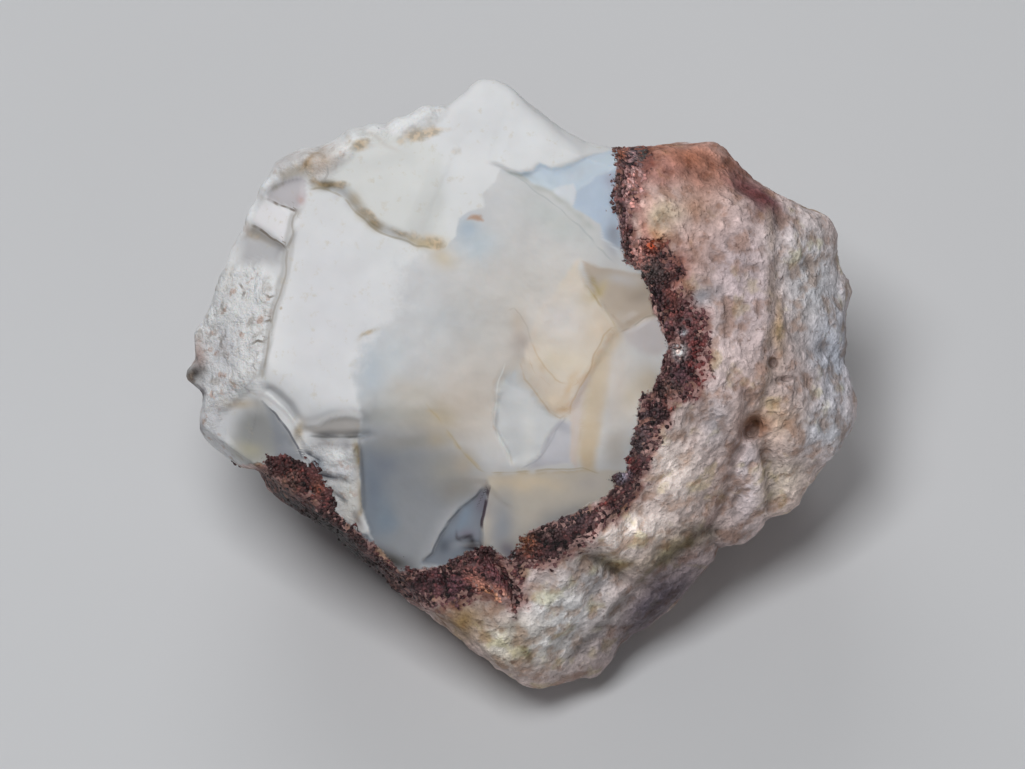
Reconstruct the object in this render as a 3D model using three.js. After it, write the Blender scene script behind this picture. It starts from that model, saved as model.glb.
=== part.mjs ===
// A rough opal still in its host rock: one natural lump, about 45 mm long.
// White potch and translucent opal make the broken upper face. A red-brown granular course parts
// them from the pinkish-tan host rock on the right, below and behind. The lump rests on a flat break.
// Everything is in millimetres. Shapes are set out in the face frame: x to the right, y up the face
// and w out of the face, from the middle of the stone.
import * as THREE from "three";
import { mergeVertices } from "three/addons/utils/BufferGeometryUtils.js";

// Overall form
const MIDDLE_HEIGHT = 13;
const FACE_TILT = THREE.MathUtils.degToRad(60);
const FRONT_DEPTH = 14;
const BACK_DEPTH = 17;
const FRONT_ROUNDNESS = 3.0;
const BACK_ROUNDNESS = 2.3;
const RIM_MIDDLE = 1.5;
const RIM_RISE_UP = 3.0;
const RIM_FALL_RIGHT = 2.0;
const SILHOUETTE_BLEND = 0.35;
const SMOOTHING_DEGREES = [-25, -20, -15, -10, -5, 0, 5, 10, 15, 20, 25];

// Mesh: subdivision of the icosahedron, and how far its directions crowd towards the face
const SUBDIVISION = 21;
const FACE_CROWDING = 0.45;
const MERGE_DISTANCE = 1e-5;

// Widest outline of the stone, seen square to the face, anticlockwise from the right
const OUTLINE = [
  [21.3, 1], [21.8, 2.7], [21.9, 4.3], [22.5, 6], [21, 9], [20.7, 10.5], [19.9, 11.1], [16.1, 12.7],
  [13.5, 15.3], [12.6, 15.9], [11.1, 15.9], [7.8, 15.4], [6.2, 15.4], [4.3, 15.8], [2.7, 16.7],
  [0.3, 18.5], [-0.9, 19.6], [-1.7, 20], [-2.9, 20.1], [-3.9, 19.1], [-5, 18.3], [-6.5, 18.3],
  [-7.8, 17.5], [-8.4, 17.5], [-9.3, 16.9], [-10.4, 17], [-11.7, 16.7], [-12.5, 15.9],
  [-13.5, 15.4], [-14.7, 15.5], [-16.6, 14.3], [-17.6, 12.6], [-18.4, 11.2], [-18.6, 10.4],
  [-19.4, 9.1], [-19.8, 7.6], [-21.2, 4], [-21.8, 3.3], [-21.9, 2.1], [-21.8, 1.2], [-22.3, 0.9],
  [-22.5, 0.3], [-22.2, -0.2], [-21.5, -0.8], [-21.6, -2.3], [-21.6, -3.3], [-21.3, -4.1],
  [-20.6, -4.8], [-19, -5.9], [-17.7, -5.9], [-15.5, -8.1], [-11.5, -11.3], [-10.1, -12.2],
  [-8.1, -14.3], [-5.1, -17], [-0.2, -19.9], [1.1, -20.3], [5, -20], [6.6, -18], [10.5, -14.7],
  [12.3, -12], [12.8, -10.7], [13.4, -11], [14.5, -10.9], [15.2, -10.5], [15.9, -9.7], [16.1, -9.1],
  [17.5, -8.9], [18.3, -8.2], [18.5, -7.5], [20.3, -5.5], [21.3, -4.8], [22.3, -3.2], [22.3, -1.5],
];

// Broken faces that show: three corners of each, and how far its edges are rounded
const FACES = {
  whiteSheet: { corners: [[-15, 11.6, 9.6], [-17.3, 0, 10.2], [2, 5, 10.85]], rounding: 0.1 },
  leftBevel: { corners: [[-15, 11.6, 9.6], [-17.3, 0, 10.2], [-21, 4, 5.9]], rounding: 0.1 },
  whitePeak: { corners: [[-6.5, 15, 9.9], [5, 14, 10.4], [-2.5, 20, 7.2]], rounding: 0.8 },
  upperRight: { corners: [[-1.3, 13.8, 10.5], [5.2, 9.5, 10.8], [6, 14.5, 9.3]], rounding: 0.1 },
  dish: { corners: [[-10.3, -3.2, 10.35], [-2.4, -6.3, 10.9], [-8, -12.5, 7]], rounding: 0.6 },
  lowFacet: { corners: [[-2.4, -6.2, 11], [5.5, -6.2, 11.4], [1.5, -11.7, 8.9]], rounding: 0.08 },
  lobe: { corners: [[-15.9, -1.9, 9.5], [-21.2, -2.7, 6.3], [-17.4, -5.7, 7]], rounding: 0.15 },
  rockFace: { corners: [[7, 12, 10.2], [10, 0, 10.5], [16.5, 8, 7.4]], rounding: 1.2 },
  rockFarSide: { corners: [[16.5, 8, 7.4], [17, -2, 7], [21.5, 4, 2.4]], rounding: 1.2 },
  rockTop: { corners: [[7, 13.2, 10], [15, 11, 7.4], [12, 15.8, 5]], rounding: 1.2 },
  rockBottom: { corners: [[-1, -12, 8.7], [7, -10.5, 9.3], [2, -18.5, 5.4]], rounding: 1.2 },
  rockLowerRight: { corners: [[11.8, -10, 6.6], [3, -18.3, 4.6], [11, -15, 1]], rounding: 0.3 },
  rockRightBlock: { corners: [[14.5, -4, 7], [20, -3, 4.4], [17, -8.5, 1.8]], rounding: 1.2 },
  underLeft: { corners: [[-17.5, -5.8, 6.8], [-8.4, -12.8, 6.8], [-14.6, -9.4, 1]], rounding: 0.2 },
};

// Breaks on the far side: direction in the stone's own frame, distance from the middle, rounding
const BREAKS = {
  backLeft: { normal: [-0.5, 0.84, 0.22], distance: 17, rounding: 0.8 },
  backRight: { normal: [0.3, 0.93, 0.2], distance: 15.8, rounding: 0.8 },
  backLow: { normal: [0.05, 0.62, -0.78], distance: 14.6, rounding: 1.5 },
  leftSide: { normal: [-0.93, 0.22, -0.3], distance: 18.6, rounding: 0.8 },
  rightSideBack: { normal: [0.8, 0.55, -0.25], distance: 18.6, rounding: 1.5 },
  rightSideFront: { normal: [0.86, -0.3, -0.42], distance: 19.2, rounding: 1.5 },
  leftLow: { normal: [-0.62, -0.42, -0.66], distance: 16.2, rounding: 1 },
  leftBackLow: { normal: [-0.6, 0.62, -0.5], distance: 17.2, rounding: 1 },
  frontLow: { normal: [0.1, -0.8, -0.59], distance: 17.2, rounding: 1.2 },
};
const BREAKS_FULL_AT = 0.45;

// Ledges across the face. Each rises by left[0] to the left of its line and by right[0] to its right,
// fading over left[1] and right[1], and it dies away over fade at its ends.
// A crest is a ridge, or a groove if negative, along the line: height and half width.
const STEP_WIDTH = 0.9;
const LEDGES = {
  plate: {
    line: [
      [-14.5, 12.7], [-13.6, 12.9], [-12.7, 12.9], [-11.8, 12.7], [-11.2, 12], [-10.6, 11.2],
      [-9.9, 10.5], [-9.3, 10.1], [-8.2, 9.7], [-7.1, 9.2], [-6.1, 8.8],
    ],
    left: [0.6, 5],
    right: [-0.08, 1.5],
    fade: 2.5,
  },
  mound: {
    line: [
      [-2.5, 14.6], [-1.6, 14.3], [-0.9, 13.9], [-0.2, 13.7], [0.7, 13.9], [1.1, 14.3], [1.9, 14],
      [3.1, 14.3], [4.3, 14.9], [6.1, 15.4],
    ],
    left: [0.3, 3],
    right: [0, 1],
    fade: 1,
  },
  sheetEndLeft: {
    line: [[-17.4, -0.2], [-16.7, -0.4], [-16, -0.9], [-15.4, -1.5], [-14.9, -2.3], [-14.5, -2.8]],
    left: [0.12, 1.5],
    right: [-0.45, 0.8],
    fade: 0.5,
  },
  sheetEnd: {
    line: [
      [-14.9, -2.4], [-14.3, -2.8], [-13.6, -2.6], [-12.8, -2.3], [-11.8, -2.2], [-10.7, -2.3],
      [-9.8, -2.5],
    ],
    left: [0.12, 1.2],
    right: [-0.6, 1.8],
    fade: 0.8,
  },
  lip: {
    line: [
      [-18.6, -0.9], [-17.4, -0.8], [-16.7, -1.3], [-15.9, -2], [-15.2, -2.9], [-14.8, -3.7],
      [-14.6, -4.8],
    ],
    left: [0, 1],
    right: [-0.4, 2.2],
    fade: 1,
    crest: [0.4, 0.5],
  },
  dishBank: {
    line: [[-10.9, -4], [-10.7, -6], [-10.6, -8], [-10.7, -8.8], [-9.9, -10.3]],
    left: [0, 1],
    right: [0.35, 1.2],
    fade: 0.5,
  },
  chippedLens: {
    line: [
      [-6.9, -12.1], [-6, -11.5], [-5.5, -10.3], [-5, -9.5], [-4.2, -8.5], [-3.1, -7.7], [-2.3, -6.8],
    ],
    left: [0.05, 1],
    right: [-0.3, 2],
    fade: 0.5,
  },
  lensCrack: {
    line: [[-2.3, -6.5], [-2.4, -8], [-2.7, -9.2], [-2.7, -11.2]],
    left: [0.05, 1],
    right: [-0.3, 1.8],
    fade: 0.5,
  },
  greyFacetLeft: {
    line: [[-1.1, 0.8], [-1.4, 0.1], [-1.8, -1.4], [-1.9, -3.2], [-1.1, -4.6], [-0.7, -5.9]],
    left: [-0.2, 2],
    right: [0.05, 1],
    fade: 0.8,
  },
  greyFacetRight: {
    line: [[-0.1, 2], [0.5, 0.3], [1.1, -1.3], [1.9, -2.1], [2.7, -2.5]],
    left: [0.08, 1.5],
    right: [-0.12, 1.5],
    fade: 1.2,
  },
  greyFacetLow: {
    line: [[2.7, -2.5], [1.8, -3.5], [1.1, -5], [0, -5.9]],
    left: [-0.1, 1.5],
    right: [0, 1],
    fade: 0.8,
  },
  honeyFacetRight: {
    line: [[3, -2.3], [3.8, -0.7], [4.2, 0.3], [4.9, 1.3], [5.4, 2.3], [6.3, 3.6]],
    left: [0.08, 2],
    right: [-0.08, 2],
    fade: 1,
  },
  honeyFacetTop: {
    line: [[6.8, 3.2], [6.1, 3.9], [5.1, 5], [4.3, 6.1], [3.7, 7.3]],
    left: [0.03, 2],
    right: [-0.12, 2.5],
    fade: 1.5,
  },
  rimFacet: {
    line: [[9.3, 4.5], [7.6, 3.7], [6.6, 3.2]],
    left: [0.03, 2],
    right: [-0.1, 2],
    fade: 1,
  },
  bevelChipTop: {
    line: [[-17.3, 12.3], [-16.5, 13.1], [-15.3, 13.4], [-14.3, 13.5]],
    left: [0.25, 1],
    right: [-0.12, 1],
    fade: 0.5,
  },
  bevelChipLow: {
    line: [[-18.2, 10.4], [-17.5, 10.1], [-16.9, 9.7], [-16.3, 9.2], [-15.6, 8.7]],
    left: [0.3, 1.3],
    right: [-0.35, 1.4],
    fade: 0.5,
  },
  rockValley: {
    line: [[16.5, 11.7], [16.7, 8], [16.4, 3.3], [16.5, 0.7], [15.7, -1.7], [15, -3.5]],
    left: [-0.5, 1.3],
    right: [0.1, 1.5],
    fade: 2,
  },
  rockStep: {
    line: [[14.7, -0.3], [14.5, -3.3], [13.7, -6], [12.9, -8.5], [11.9, -10.5]],
    left: [-0.55, 2.2],
    right: [0.25, 2],
    fade: 1,
  },
  rockBlock: {
    line: [[14.6, -3.9], [15.4, -4], [16.1, -6], [16.2, -8], [16, -9.3]],
    left: [-0.6, 1.6],
    right: [0.35, 2],
    fade: 0.8,
  },
  sideEdge: {
    line: [
      [12, -10], [10.5, -11.2], [9.3, -12.1], [8, -13.2], [6.7, -14.5], [5.3, -16.3], [3.7, -17.9],
      [2.3, -19.2],
    ],
    left: [-0.5, 2.5],
    right: [0.15, 1],
    fade: 1,
  },
  lowValley: {
    line: [[3.7, -11.7], [5.2, -12.1], [6.3, -12.9], [7, -13.8]],
    left: [0.1, 1],
    right: [0.1, 1],
    fade: 0.8,
    crest: [-0.4, 0.5],
  },
  redRidge: {
    line: [[-4.5, -12.1], [-2.8, -12.8], [-1.8, -13.7], [-0.8, -14.9]],
    left: [0, 1],
    right: [0, 1],
    fade: 0.8,
    crest: [0.5, 0.5],
  },
  redCrack: {
    line: [[-2.7, -11.2], [-1.7, -12.4], [-0.7, -13.7], [-0.3, -15.1]],
    left: [0.1, 1],
    right: [0, 1],
    fade: 0.3,
    crest: [-0.35, 0.5],
  },
};

// Swells and hollows: x, y, half length, half width, turn in degrees, height
const SWELLS = [
  [-6.5, -7.2, 3.2, 3.5, 20, -0.55],
  [-18.2, -3.3, 2.3, 1.7, -30, -0.45],
  [6.8, -10.4, 2.4, 1.2, 5, 0.7],
  [10.1, -6.5, 2, 2, 0, 0.5],
  [2.5, -15.9, 2.8, 1.7, 20, 0.45],
  [-1.5, -16.1, 1.5, 1.3, 0, 0.35],
  [6.2, -12.7, 2.3, 0.6, -35, -0.6],
  [4.5, -11.7, 1.6, 0.6, 10, -0.4],
  [8.5, -2.7, 1.2, 2, 30, 0.3],
  [18.5, 9, 1.6, 1.3, 0, 0.55],
  [21, 6, 0.6, 1.7, 0, -0.5],
  [19.3, 4.1, 1.2, 1.5, 0, 0.4],
  [20.1, 1.9, 0.9, 0.7, 20, -0.6],
  [18.9, 7.7, 0.6, 0.5, 30, -0.4],
  [20.9, -1.6, 1.2, 1.3, 0, 0.5],
  [18.5, 2.3, 0.7, 0.8, 0, -0.35],
  [17.8, -4.5, 1.3, 1.1, 0, 0.5],
  [17, -2.5, 1.1, 0.9, 0, -0.4],
  [15.3, -7.5, 0.8, 2.3, 0, 0.4],
  [19.3, -6, 0.8, 0.7, 0, -0.3],
  [11.3, 5.5, 1.5, 0.7, 20, -0.35],
  [8.8, 8.8, 0.8, 0.7, 0, -0.3],
  [9.7, 11.7, 1.7, 1.1, 20, 0.35],
  [13.3, 13, 1.6, 1.2, -30, 0.3],
  [14.3, 7.7, 1.1, 2.3, 0, 0.3],
  [12.6, 0.5, 1.2, 2.3, 0, 0.3],
  [16.8, 12.3, 0.9, 0.6, -30, -0.3],
  [-6.2, 16.7, 1.3, 0.6, 20, -0.25],
  [-18.6, 10.7, 0.5, 0.8, -25, 0.3],
  [-17.4, 12.9, 0.6, 0.8, -40, 0.35],
  [-15.6, 14.6, 0.9, 0.5, 35, 0.4],
  [-12.5, 15.2, 0.7, 0.5, 40, 0.3],
  [-8.1, 17.1, 0.8, 0.5, 20, 0.25],
  [-12.9, 14.8, 1.7, 0.6, 25, 0.3],
  [-9.5, 15.3, 2.7, 0.9, 10, 0.2],
  [-12.5, -5.2, 0.75, 0.5, 10, 0.3],
  [-11.3, -8, 0.5, 1.1, 10, 0.25],
];

// The deep hole in the rock: x, y, half length, half width, turn in degrees, depth
const HOLE = [15.2, -3.1, 1.1, 1.5, -20, 1.1];

// Edge of the opal on the face, and how far behind the middle its layer goes
const OPAL_EDGE = [
  [7.8, 24], [6.3, 15.3], [6.1, 12], [6.8, 7.9], [8.2, 7], [8.6, 4.7], [9.7, 2.3], [8.8, -0.3],
  [7.8, -1.3], [7.5, -3.3], [7, -6], [5.5, -7.7], [3.1, -9], [0.5, -10], [-0.7, -12],
  [-2.2, -11.2], [-3.7, -11.5], [-5.5, -12.4], [-8.2, -12.8], [-9.2, -11.5], [-12.3, -9],
  [-14.9, -6.7], [-17.4, -5.5], [-21.5, -6], [-30.9, -6], [-30.9, 24],
];
const OPAL_BACK = -7;
const OPAL_BACK_SLOPE = 0.8;
const OPAL_BACK_WAVER = 0.6;
const OPAL_BACK_WAVE = 4;

// Chalky, pitted parts of the white potch: outline, and share of the full roughness
const CHALK = {
  bevel: {
    outline: [
      [-20.3, 7.5], [-17.4, 7.9], [-16.3, 6], [-17, 2.3], [-17.7, -0.3], [-19, -1.2], [-20, -2.2],
      [-20, -3.6], [-18, -5.8], [-18, -7], [-24, -5], [-24, 1.3], [-22.6, 4],
    ],
    strength: 0.9,
  },
  terraces: {
    outline: [[-14.6, -3.9], [-10.8, -3.9], [-10.9, -9], [-10.3, -10.4], [-12, -10], [-14.7, -5]],
    strength: 0.6,
  },
  scallops: {
    outline: [
      [-20.3, 7.5], [-18.4, 9.6], [-16.7, 13], [-14.5, 13.9], [-9.5, 15.8], [-5, 18], [-5, 22],
      [-20, 22], [-25, 12],
    ],
    strength: 0.5,
  },
};
const CHALK_BLEND = [-0.4, 0.6];

// Roughness of the broken surfaces: size of the largest lumps, height, how fast smaller ones fade
const LUMP_OCTAVES = 3;
const ROCK_LUMPS = { size: 4.5, height: 0.45, fading: 0.6, seed: 3 };
const ROCK_BLEND = [0.2, -1];
const CHALK_LUMPS = { size: 5, height: 0.35, fading: 0.62, seed: 23 };
const OPAL_WAVES = { size: 3, height: 0.05, fading: 0.5, seed: 11 };
const ROCK_GRAIN_STRETCH = 0.75;
const OCTAVE_SHIFT = 17.3;
const OPAL_SEED = 7;

// Height range over which the relief of the face comes in, so that the far side stays free of it
const RELIEF_STARTS = [0.5, 4];

const OPAL_COLOUR = "#d6d4ce";
const OPAL_GLOSS = { roughness: 0.45, metalness: 0 };

function smoothstep(from, to, value) {
  const t = THREE.MathUtils.clamp((value - from) / (to - from), 0, 1);
  return t * t * (3 - 2 * t);
}

function softMin(a, b, rounding) {
  const t = THREE.MathUtils.clamp(0.5 + (0.5 * (b - a)) / rounding, 0, 1);
  return THREE.MathUtils.lerp(b, a, t) - rounding * t * (1 - t);
}

// A repeatable random value from -1 to 1 for each corner of a cubic grid
function gridValue(x, y, z, seed) {
  let h = Math.imul(x, 374761393) + Math.imul(y, 668265263);
  h = (h + Math.imul(z, 2246822519) + Math.imul(seed, 3266489917)) >>> 0;
  h = Math.imul(h ^ (h >>> 13), 1274126177) >>> 0;
  h = Math.imul(h ^ (h >>> 15), 2246822519) >>> 0;
  return ((h ^ (h >>> 16)) >>> 0) / 2147483648 - 1;
}

function fadeCurve(t) {
  return t * t * t * (t * (t * 6 - 15) + 10);
}

// Smooth random value at a point, changing over the given size
function noise(point, size, seed) {
  const scaled = point.map((v) => v / size);
  const corner = scaled.map(Math.floor);
  const [u, v, w] = scaled.map((value, i) => fadeCurve(value - corner[i]));
  let total = 0;
  for (const dx of [0, 1])
    for (const dy of [0, 1])
      for (const dz of [0, 1]) {
        const weight = Math.abs(1 - dx - u) * Math.abs(1 - dy - v) * Math.abs(1 - dz - w);
        total += weight * gridValue(corner[0] + dx, corner[1] + dy, corner[2] + dz, seed);
      }
  return total;
}

// Lumps of several sizes, each half as wide as the one before
function lumps(point, { size, height, fading, seed }) {
  let total = 0;
  for (let k = 0; k < LUMP_OCTAVES; k++) {
    const moved = point.map((v) => v + OCTAVE_SHIFT * k);
    total += fading ** k * noise(moved, size / 2 ** k, seed + k);
  }
  return height * total;
}

// The nearest point of a run of straight stretches: distance, side and length travelled
function nearestOnLine(line, x, y) {
  let best = { distance: Infinity, signed: 0, travelled: 0 };
  let start = 0;
  for (let i = 0; i + 1 < line.length; i++) {
    const [ax, ay] = line[i];
    const ex = line[i + 1][0] - ax;
    const ey = line[i + 1][1] - ay;
    const length = Math.hypot(ex, ey);
    const t = THREE.MathUtils.clamp(((x - ax) * ex + (y - ay) * ey) / length ** 2, 0, 1);
    const distance = Math.hypot(x - ax - t * ex, y - ay - t * ey);
    if (distance < best.distance) {
      const side = Math.sign(ex * (y - ay) - ey * (x - ax));
      best = { distance, signed: distance * side, travelled: start + t * length };
    }
    start += length;
  }
  return { ...best, total: start };
}

// Distance to a closed outline, positive inside it
function depthInside(outline, x, y) {
  const closed = [...outline, outline[0]];
  let inside = false;
  for (let i = 0; i + 1 < closed.length; i++) {
    const [ax, ay] = closed[i];
    const [bx, by] = closed[i + 1];
    if (ay > y !== by > y && x < ((bx - ax) * (y - ay)) / (by - ay) + ax) inside = !inside;
  }
  const { distance } = nearestOnLine(closed, x, y);
  return inside ? distance : -distance;
}

// From the face frame to the stone's own frame, upright and resting at z = 0
const acrossFace = new THREE.Vector3(1, 0, 0);
const upFace = new THREE.Vector3(0, Math.sin(FACE_TILT), Math.cos(FACE_TILT));
const outOfFace = new THREE.Vector3(0, -Math.cos(FACE_TILT), Math.sin(FACE_TILT));

function toOwnFrame([x, y, w]) {
  return new THREE.Vector3(0, 0, MIDDLE_HEIGHT)
    .addScaledVector(acrossFace, x)
    .addScaledVector(upFace, y)
    .addScaledVector(outOfFace, w);
}

function toFaceFrame(direction) {
  return new THREE.Vector3(
    direction.dot(acrossFace),
    direction.dot(upFace),
    direction.dot(outOfFace),
  );
}

// The outline's corners by angle, closed on both sides
function polarOutline() {
  const corners = OUTLINE.map(([x, y]) => ({ x, y, angle: Math.atan2(y, x) }));
  corners.sort((a, b) => a.angle - b.angle);
  const first = corners[0];
  const last = corners.at(-1);
  return [
    { ...last, angle: last.angle - 2 * Math.PI },
    ...corners,
    { ...first, angle: first.angle + 2 * Math.PI },
  ];
}
const polar = polarOutline();

function outlineRadius(angle) {
  const i = polar.findIndex((corner) => corner.angle >= angle);
  const a = polar[i - 1];
  const b = polar[i];
  const ex = b.x - a.x;
  const ey = b.y - a.y;
  return (a.x * ey - a.y * ex) / (Math.cos(angle) * ey - Math.sin(angle) * ex);
}

// The outline with its small bumps and hollows averaged out
function smoothRadius(angle) {
  const radii = SMOOTHING_DEGREES.map((degrees) => {
    const turned = angle + THREE.MathUtils.degToRad(degrees);
    return outlineRadius(Math.atan2(Math.sin(turned), Math.cos(turned)));
  });
  return radii.reduce((sum, r) => sum + r) / radii.length;
}

// The rounded body before it is broken: the outline, bulging to the front and back
function bodyPoint(direction) {
  const angle = Math.atan2(direction.y, direction.x);
  const power = direction.z > 0 ? FRONT_ROUNDNESS : BACK_ROUNDNESS;
  let across = Math.hypot(direction.x, direction.y) ** (2 / power);
  let along = Math.abs(direction.z) ** (2 / power);
  const size = (across ** power + along ** power) ** (1 / power);
  across /= size;
  along /= size;
  const rim = RIM_MIDDLE + RIM_RISE_UP * Math.sin(angle) - RIM_FALL_RIGHT * Math.cos(angle);
  const hidden = smoothstep(0, -SILHOUETTE_BLEND, direction.z);
  const widest = outlineRadius(angle);
  const plain = Math.min(smoothRadius(angle), widest);
  const radius = THREE.MathUtils.lerp(widest, plain, hidden) * across;
  const bulge = direction.z > 0 ? FRONT_DEPTH - rim * across : -(BACK_DEPTH + rim * across);
  return new THREE.Vector3(
    radius * Math.cos(angle),
    radius * Math.sin(angle),
    bulge * along + rim * across,
  );
}

function planeThrough(corners) {
  const points = corners.map((corner) => new THREE.Vector3(...corner));
  const plane = new THREE.Plane().setFromCoplanarPoints(...points);
  return plane.constant < 0 ? plane : plane.negate();
}

const faces = Object.values(FACES).map(({ corners, rounding }) => {
  const plane = planeThrough(corners);
  return { normal: plane.normal, distance: -plane.constant, rounding };
});
const breaks = Object.values(BREAKS).map(({ normal, distance, rounding }) => ({
  normal: toFaceFrame(new THREE.Vector3(...normal).normalize()),
  distance,
  rounding,
}));
const rest = { normal: toFaceFrame(new THREE.Vector3(0, 0, -1)), distance: MIDDLE_HEIGHT };

// How far along a direction a flat face stops it. One that it hardly meets is taken as far away.
const GRAZING_SLOPE = 1e-3;
const FAR_AWAY = 1e3;

function reachOf({ normal, distance }, direction) {
  const slope = direction.dot(normal);
  return slope > GRAZING_SLOPE ? distance / slope : FAR_AWAY;
}

// Draws a point of the body towards the middle until it is inside every broken face
function brokenRadius(point) {
  const direction = point.clone().normalize();
  let radius = point.length();
  for (const face of faces) radius = softMin(radius, reachOf(face, direction), face.rounding);
  let behind = radius;
  for (const face of breaks) behind = softMin(behind, reachOf(face, direction), face.rounding);
  return THREE.MathUtils.lerp(radius, behind, smoothstep(0, BREAKS_FULL_AT, -direction.z));
}

// Distance inside the opal, negative in the rock
function depthInOpal([x, y, w]) {
  const waver = OPAL_BACK_WAVER * noise([x, y, w], OPAL_BACK_WAVE, OPAL_SEED);
  return Math.min(depthInside(OPAL_EDGE, x, y), (w - OPAL_BACK) * OPAL_BACK_SLOPE + waver);
}

function chalkShare([x, y]) {
  const shares = Object.values(CHALK).map(({ outline, strength }) => {
    return strength * smoothstep(...CHALK_BLEND, depthInside(outline, x, y));
  });
  return Math.max(...shares);
}

function roughness(point) {
  const [x, y, w] = point;
  const potch = THREE.MathUtils.lerp(
    lumps(point, OPAL_WAVES),
    lumps(point, CHALK_LUMPS),
    chalkShare(point),
  );
  const rock = lumps([x, ROCK_GRAIN_STRETCH * y, w], ROCK_LUMPS);
  return THREE.MathUtils.lerp(potch, rock, smoothstep(...ROCK_BLEND, depthInOpal(point)));
}

function ledgeHeight({ line, left, right, fade, crest = [0, 1] }, x, y) {
  const { signed, travelled, total } = nearestOnLine(line, x, y);
  const ends = smoothstep(0, fade, travelled) * smoothstep(0, fade, total - travelled);
  const side = smoothstep(-STEP_WIDTH / 2, STEP_WIDTH / 2, signed);
  const high = left[0] * Math.exp(-((signed / left[1]) ** 2));
  const low = right[0] * Math.exp(-((signed / right[1]) ** 2));
  const ridge = crest[0] * Math.exp(-((signed / crest[1]) ** 2));
  return ends * (high * side + low * (1 - side) + ridge);
}

// Squared distance from the middle of an oval, 1 on its edge
function ovalDistance([cx, cy, halfLength, halfWidth, turn], x, y) {
  const angle = THREE.MathUtils.degToRad(turn);
  const u = ((x - cx) * Math.cos(angle) + (y - cy) * Math.sin(angle)) / halfLength;
  const v = (-(x - cx) * Math.sin(angle) + (y - cy) * Math.cos(angle)) / halfWidth;
  return u * u + v * v;
}

function relief(x, y) {
  let height = 0;
  for (const ledge of Object.values(LEDGES)) height += ledgeHeight(ledge, x, y);
  for (const swell of SWELLS) height += swell[5] * Math.exp(-ovalDistance(swell, x, y));
  return height - HOLE[5] * Math.exp(-ovalDistance(HOLE, x, y));
}

// One point of the finished surface, for a direction from the middle
function surfacePoint(direction) {
  const point = bodyPoint(direction);
  const broken = point.clone().setLength(brokenRadius(point));
  const radius = broken.length() + roughness(broken.toArray());
  const floor = reachOf(rest, point.clone().normalize());
  const rough = broken.clone().setLength(Math.min(radius, floor));
  rough.z += relief(rough.x, rough.y) * smoothstep(...RELIEF_STARTS, rough.z);
  const below = rough.dot(rest.normal) - rest.distance;
  if (below > 0) rough.addScaledVector(rest.normal, -below);
  return toOwnFrame(rough.toArray());
}

function stoneGeometry() {
  const ball = new THREE.IcosahedronGeometry(1, SUBDIVISION);
  ball.deleteAttribute("normal");
  ball.deleteAttribute("uv");
  const geometry = mergeVertices(ball, MERGE_DISTANCE);
  const places = geometry.attributes.position;
  const direction = new THREE.Vector3();
  for (let i = 0; i < places.count; i++) {
    direction.fromBufferAttribute(places, i);
    direction.z += FACE_CROWDING;
    const point = surfacePoint(direction.normalize());
    places.setXYZ(i, point.x, point.y, point.z);
  }
  geometry.computeVertexNormals();
  return geometry;
}

const stone = new THREE.Mesh(
  stoneGeometry(),
  new THREE.MeshStandardMaterial({ color: OPAL_COLOUR, ...OPAL_GLOSS }),
);
stone.name = "rough_opal";

const group = new THREE.Group();
group.add(stone);

export default group;
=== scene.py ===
import math

import bpy
import numpy as np
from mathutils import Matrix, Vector


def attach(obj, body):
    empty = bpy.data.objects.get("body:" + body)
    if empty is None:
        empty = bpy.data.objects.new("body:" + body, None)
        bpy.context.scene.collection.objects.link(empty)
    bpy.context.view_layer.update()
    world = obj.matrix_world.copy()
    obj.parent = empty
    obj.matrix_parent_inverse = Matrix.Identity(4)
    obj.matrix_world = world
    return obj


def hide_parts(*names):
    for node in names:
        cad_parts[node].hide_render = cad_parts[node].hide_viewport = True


# A rough opal in its host rock. Shapes and markings are set out in the face frame, in millimetres:
# x to the right, y up the face and w out of the face, from the middle of the stone.
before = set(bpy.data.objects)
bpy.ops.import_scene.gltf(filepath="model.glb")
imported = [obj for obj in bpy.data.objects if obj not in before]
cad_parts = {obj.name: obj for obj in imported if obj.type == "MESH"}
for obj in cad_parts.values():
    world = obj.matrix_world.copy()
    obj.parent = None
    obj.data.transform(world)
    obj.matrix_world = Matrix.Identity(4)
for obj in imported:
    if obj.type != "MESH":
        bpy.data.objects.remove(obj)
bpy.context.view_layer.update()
random = np.random.default_rng(3626)

# Overall form
MIDDLE_HEIGHT = 13.0
FACE_TILT = math.radians(60)
FRONT_DEPTH = 14.0
BACK_DEPTH = 17.0
FRONT_ROUNDNESS = 3.0
BACK_ROUNDNESS = 2.3
RIM_MIDDLE = 1.5
RIM_RISE_UP = 3.0
RIM_FALL_RIGHT = 2.0
SILHOUETTE_BLEND = 0.35
SMOOTHING = np.radians(np.arange(-25, 26, 5.0))
CORNER_ROUNDING = np.radians([-0.6, 0, 0.6])

# Mesh: how often each edge of the icosahedron is cut, and how far its directions crowd to the face
EDGE_CUTS = 98
FACE_CROWDING = 0.45

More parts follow.
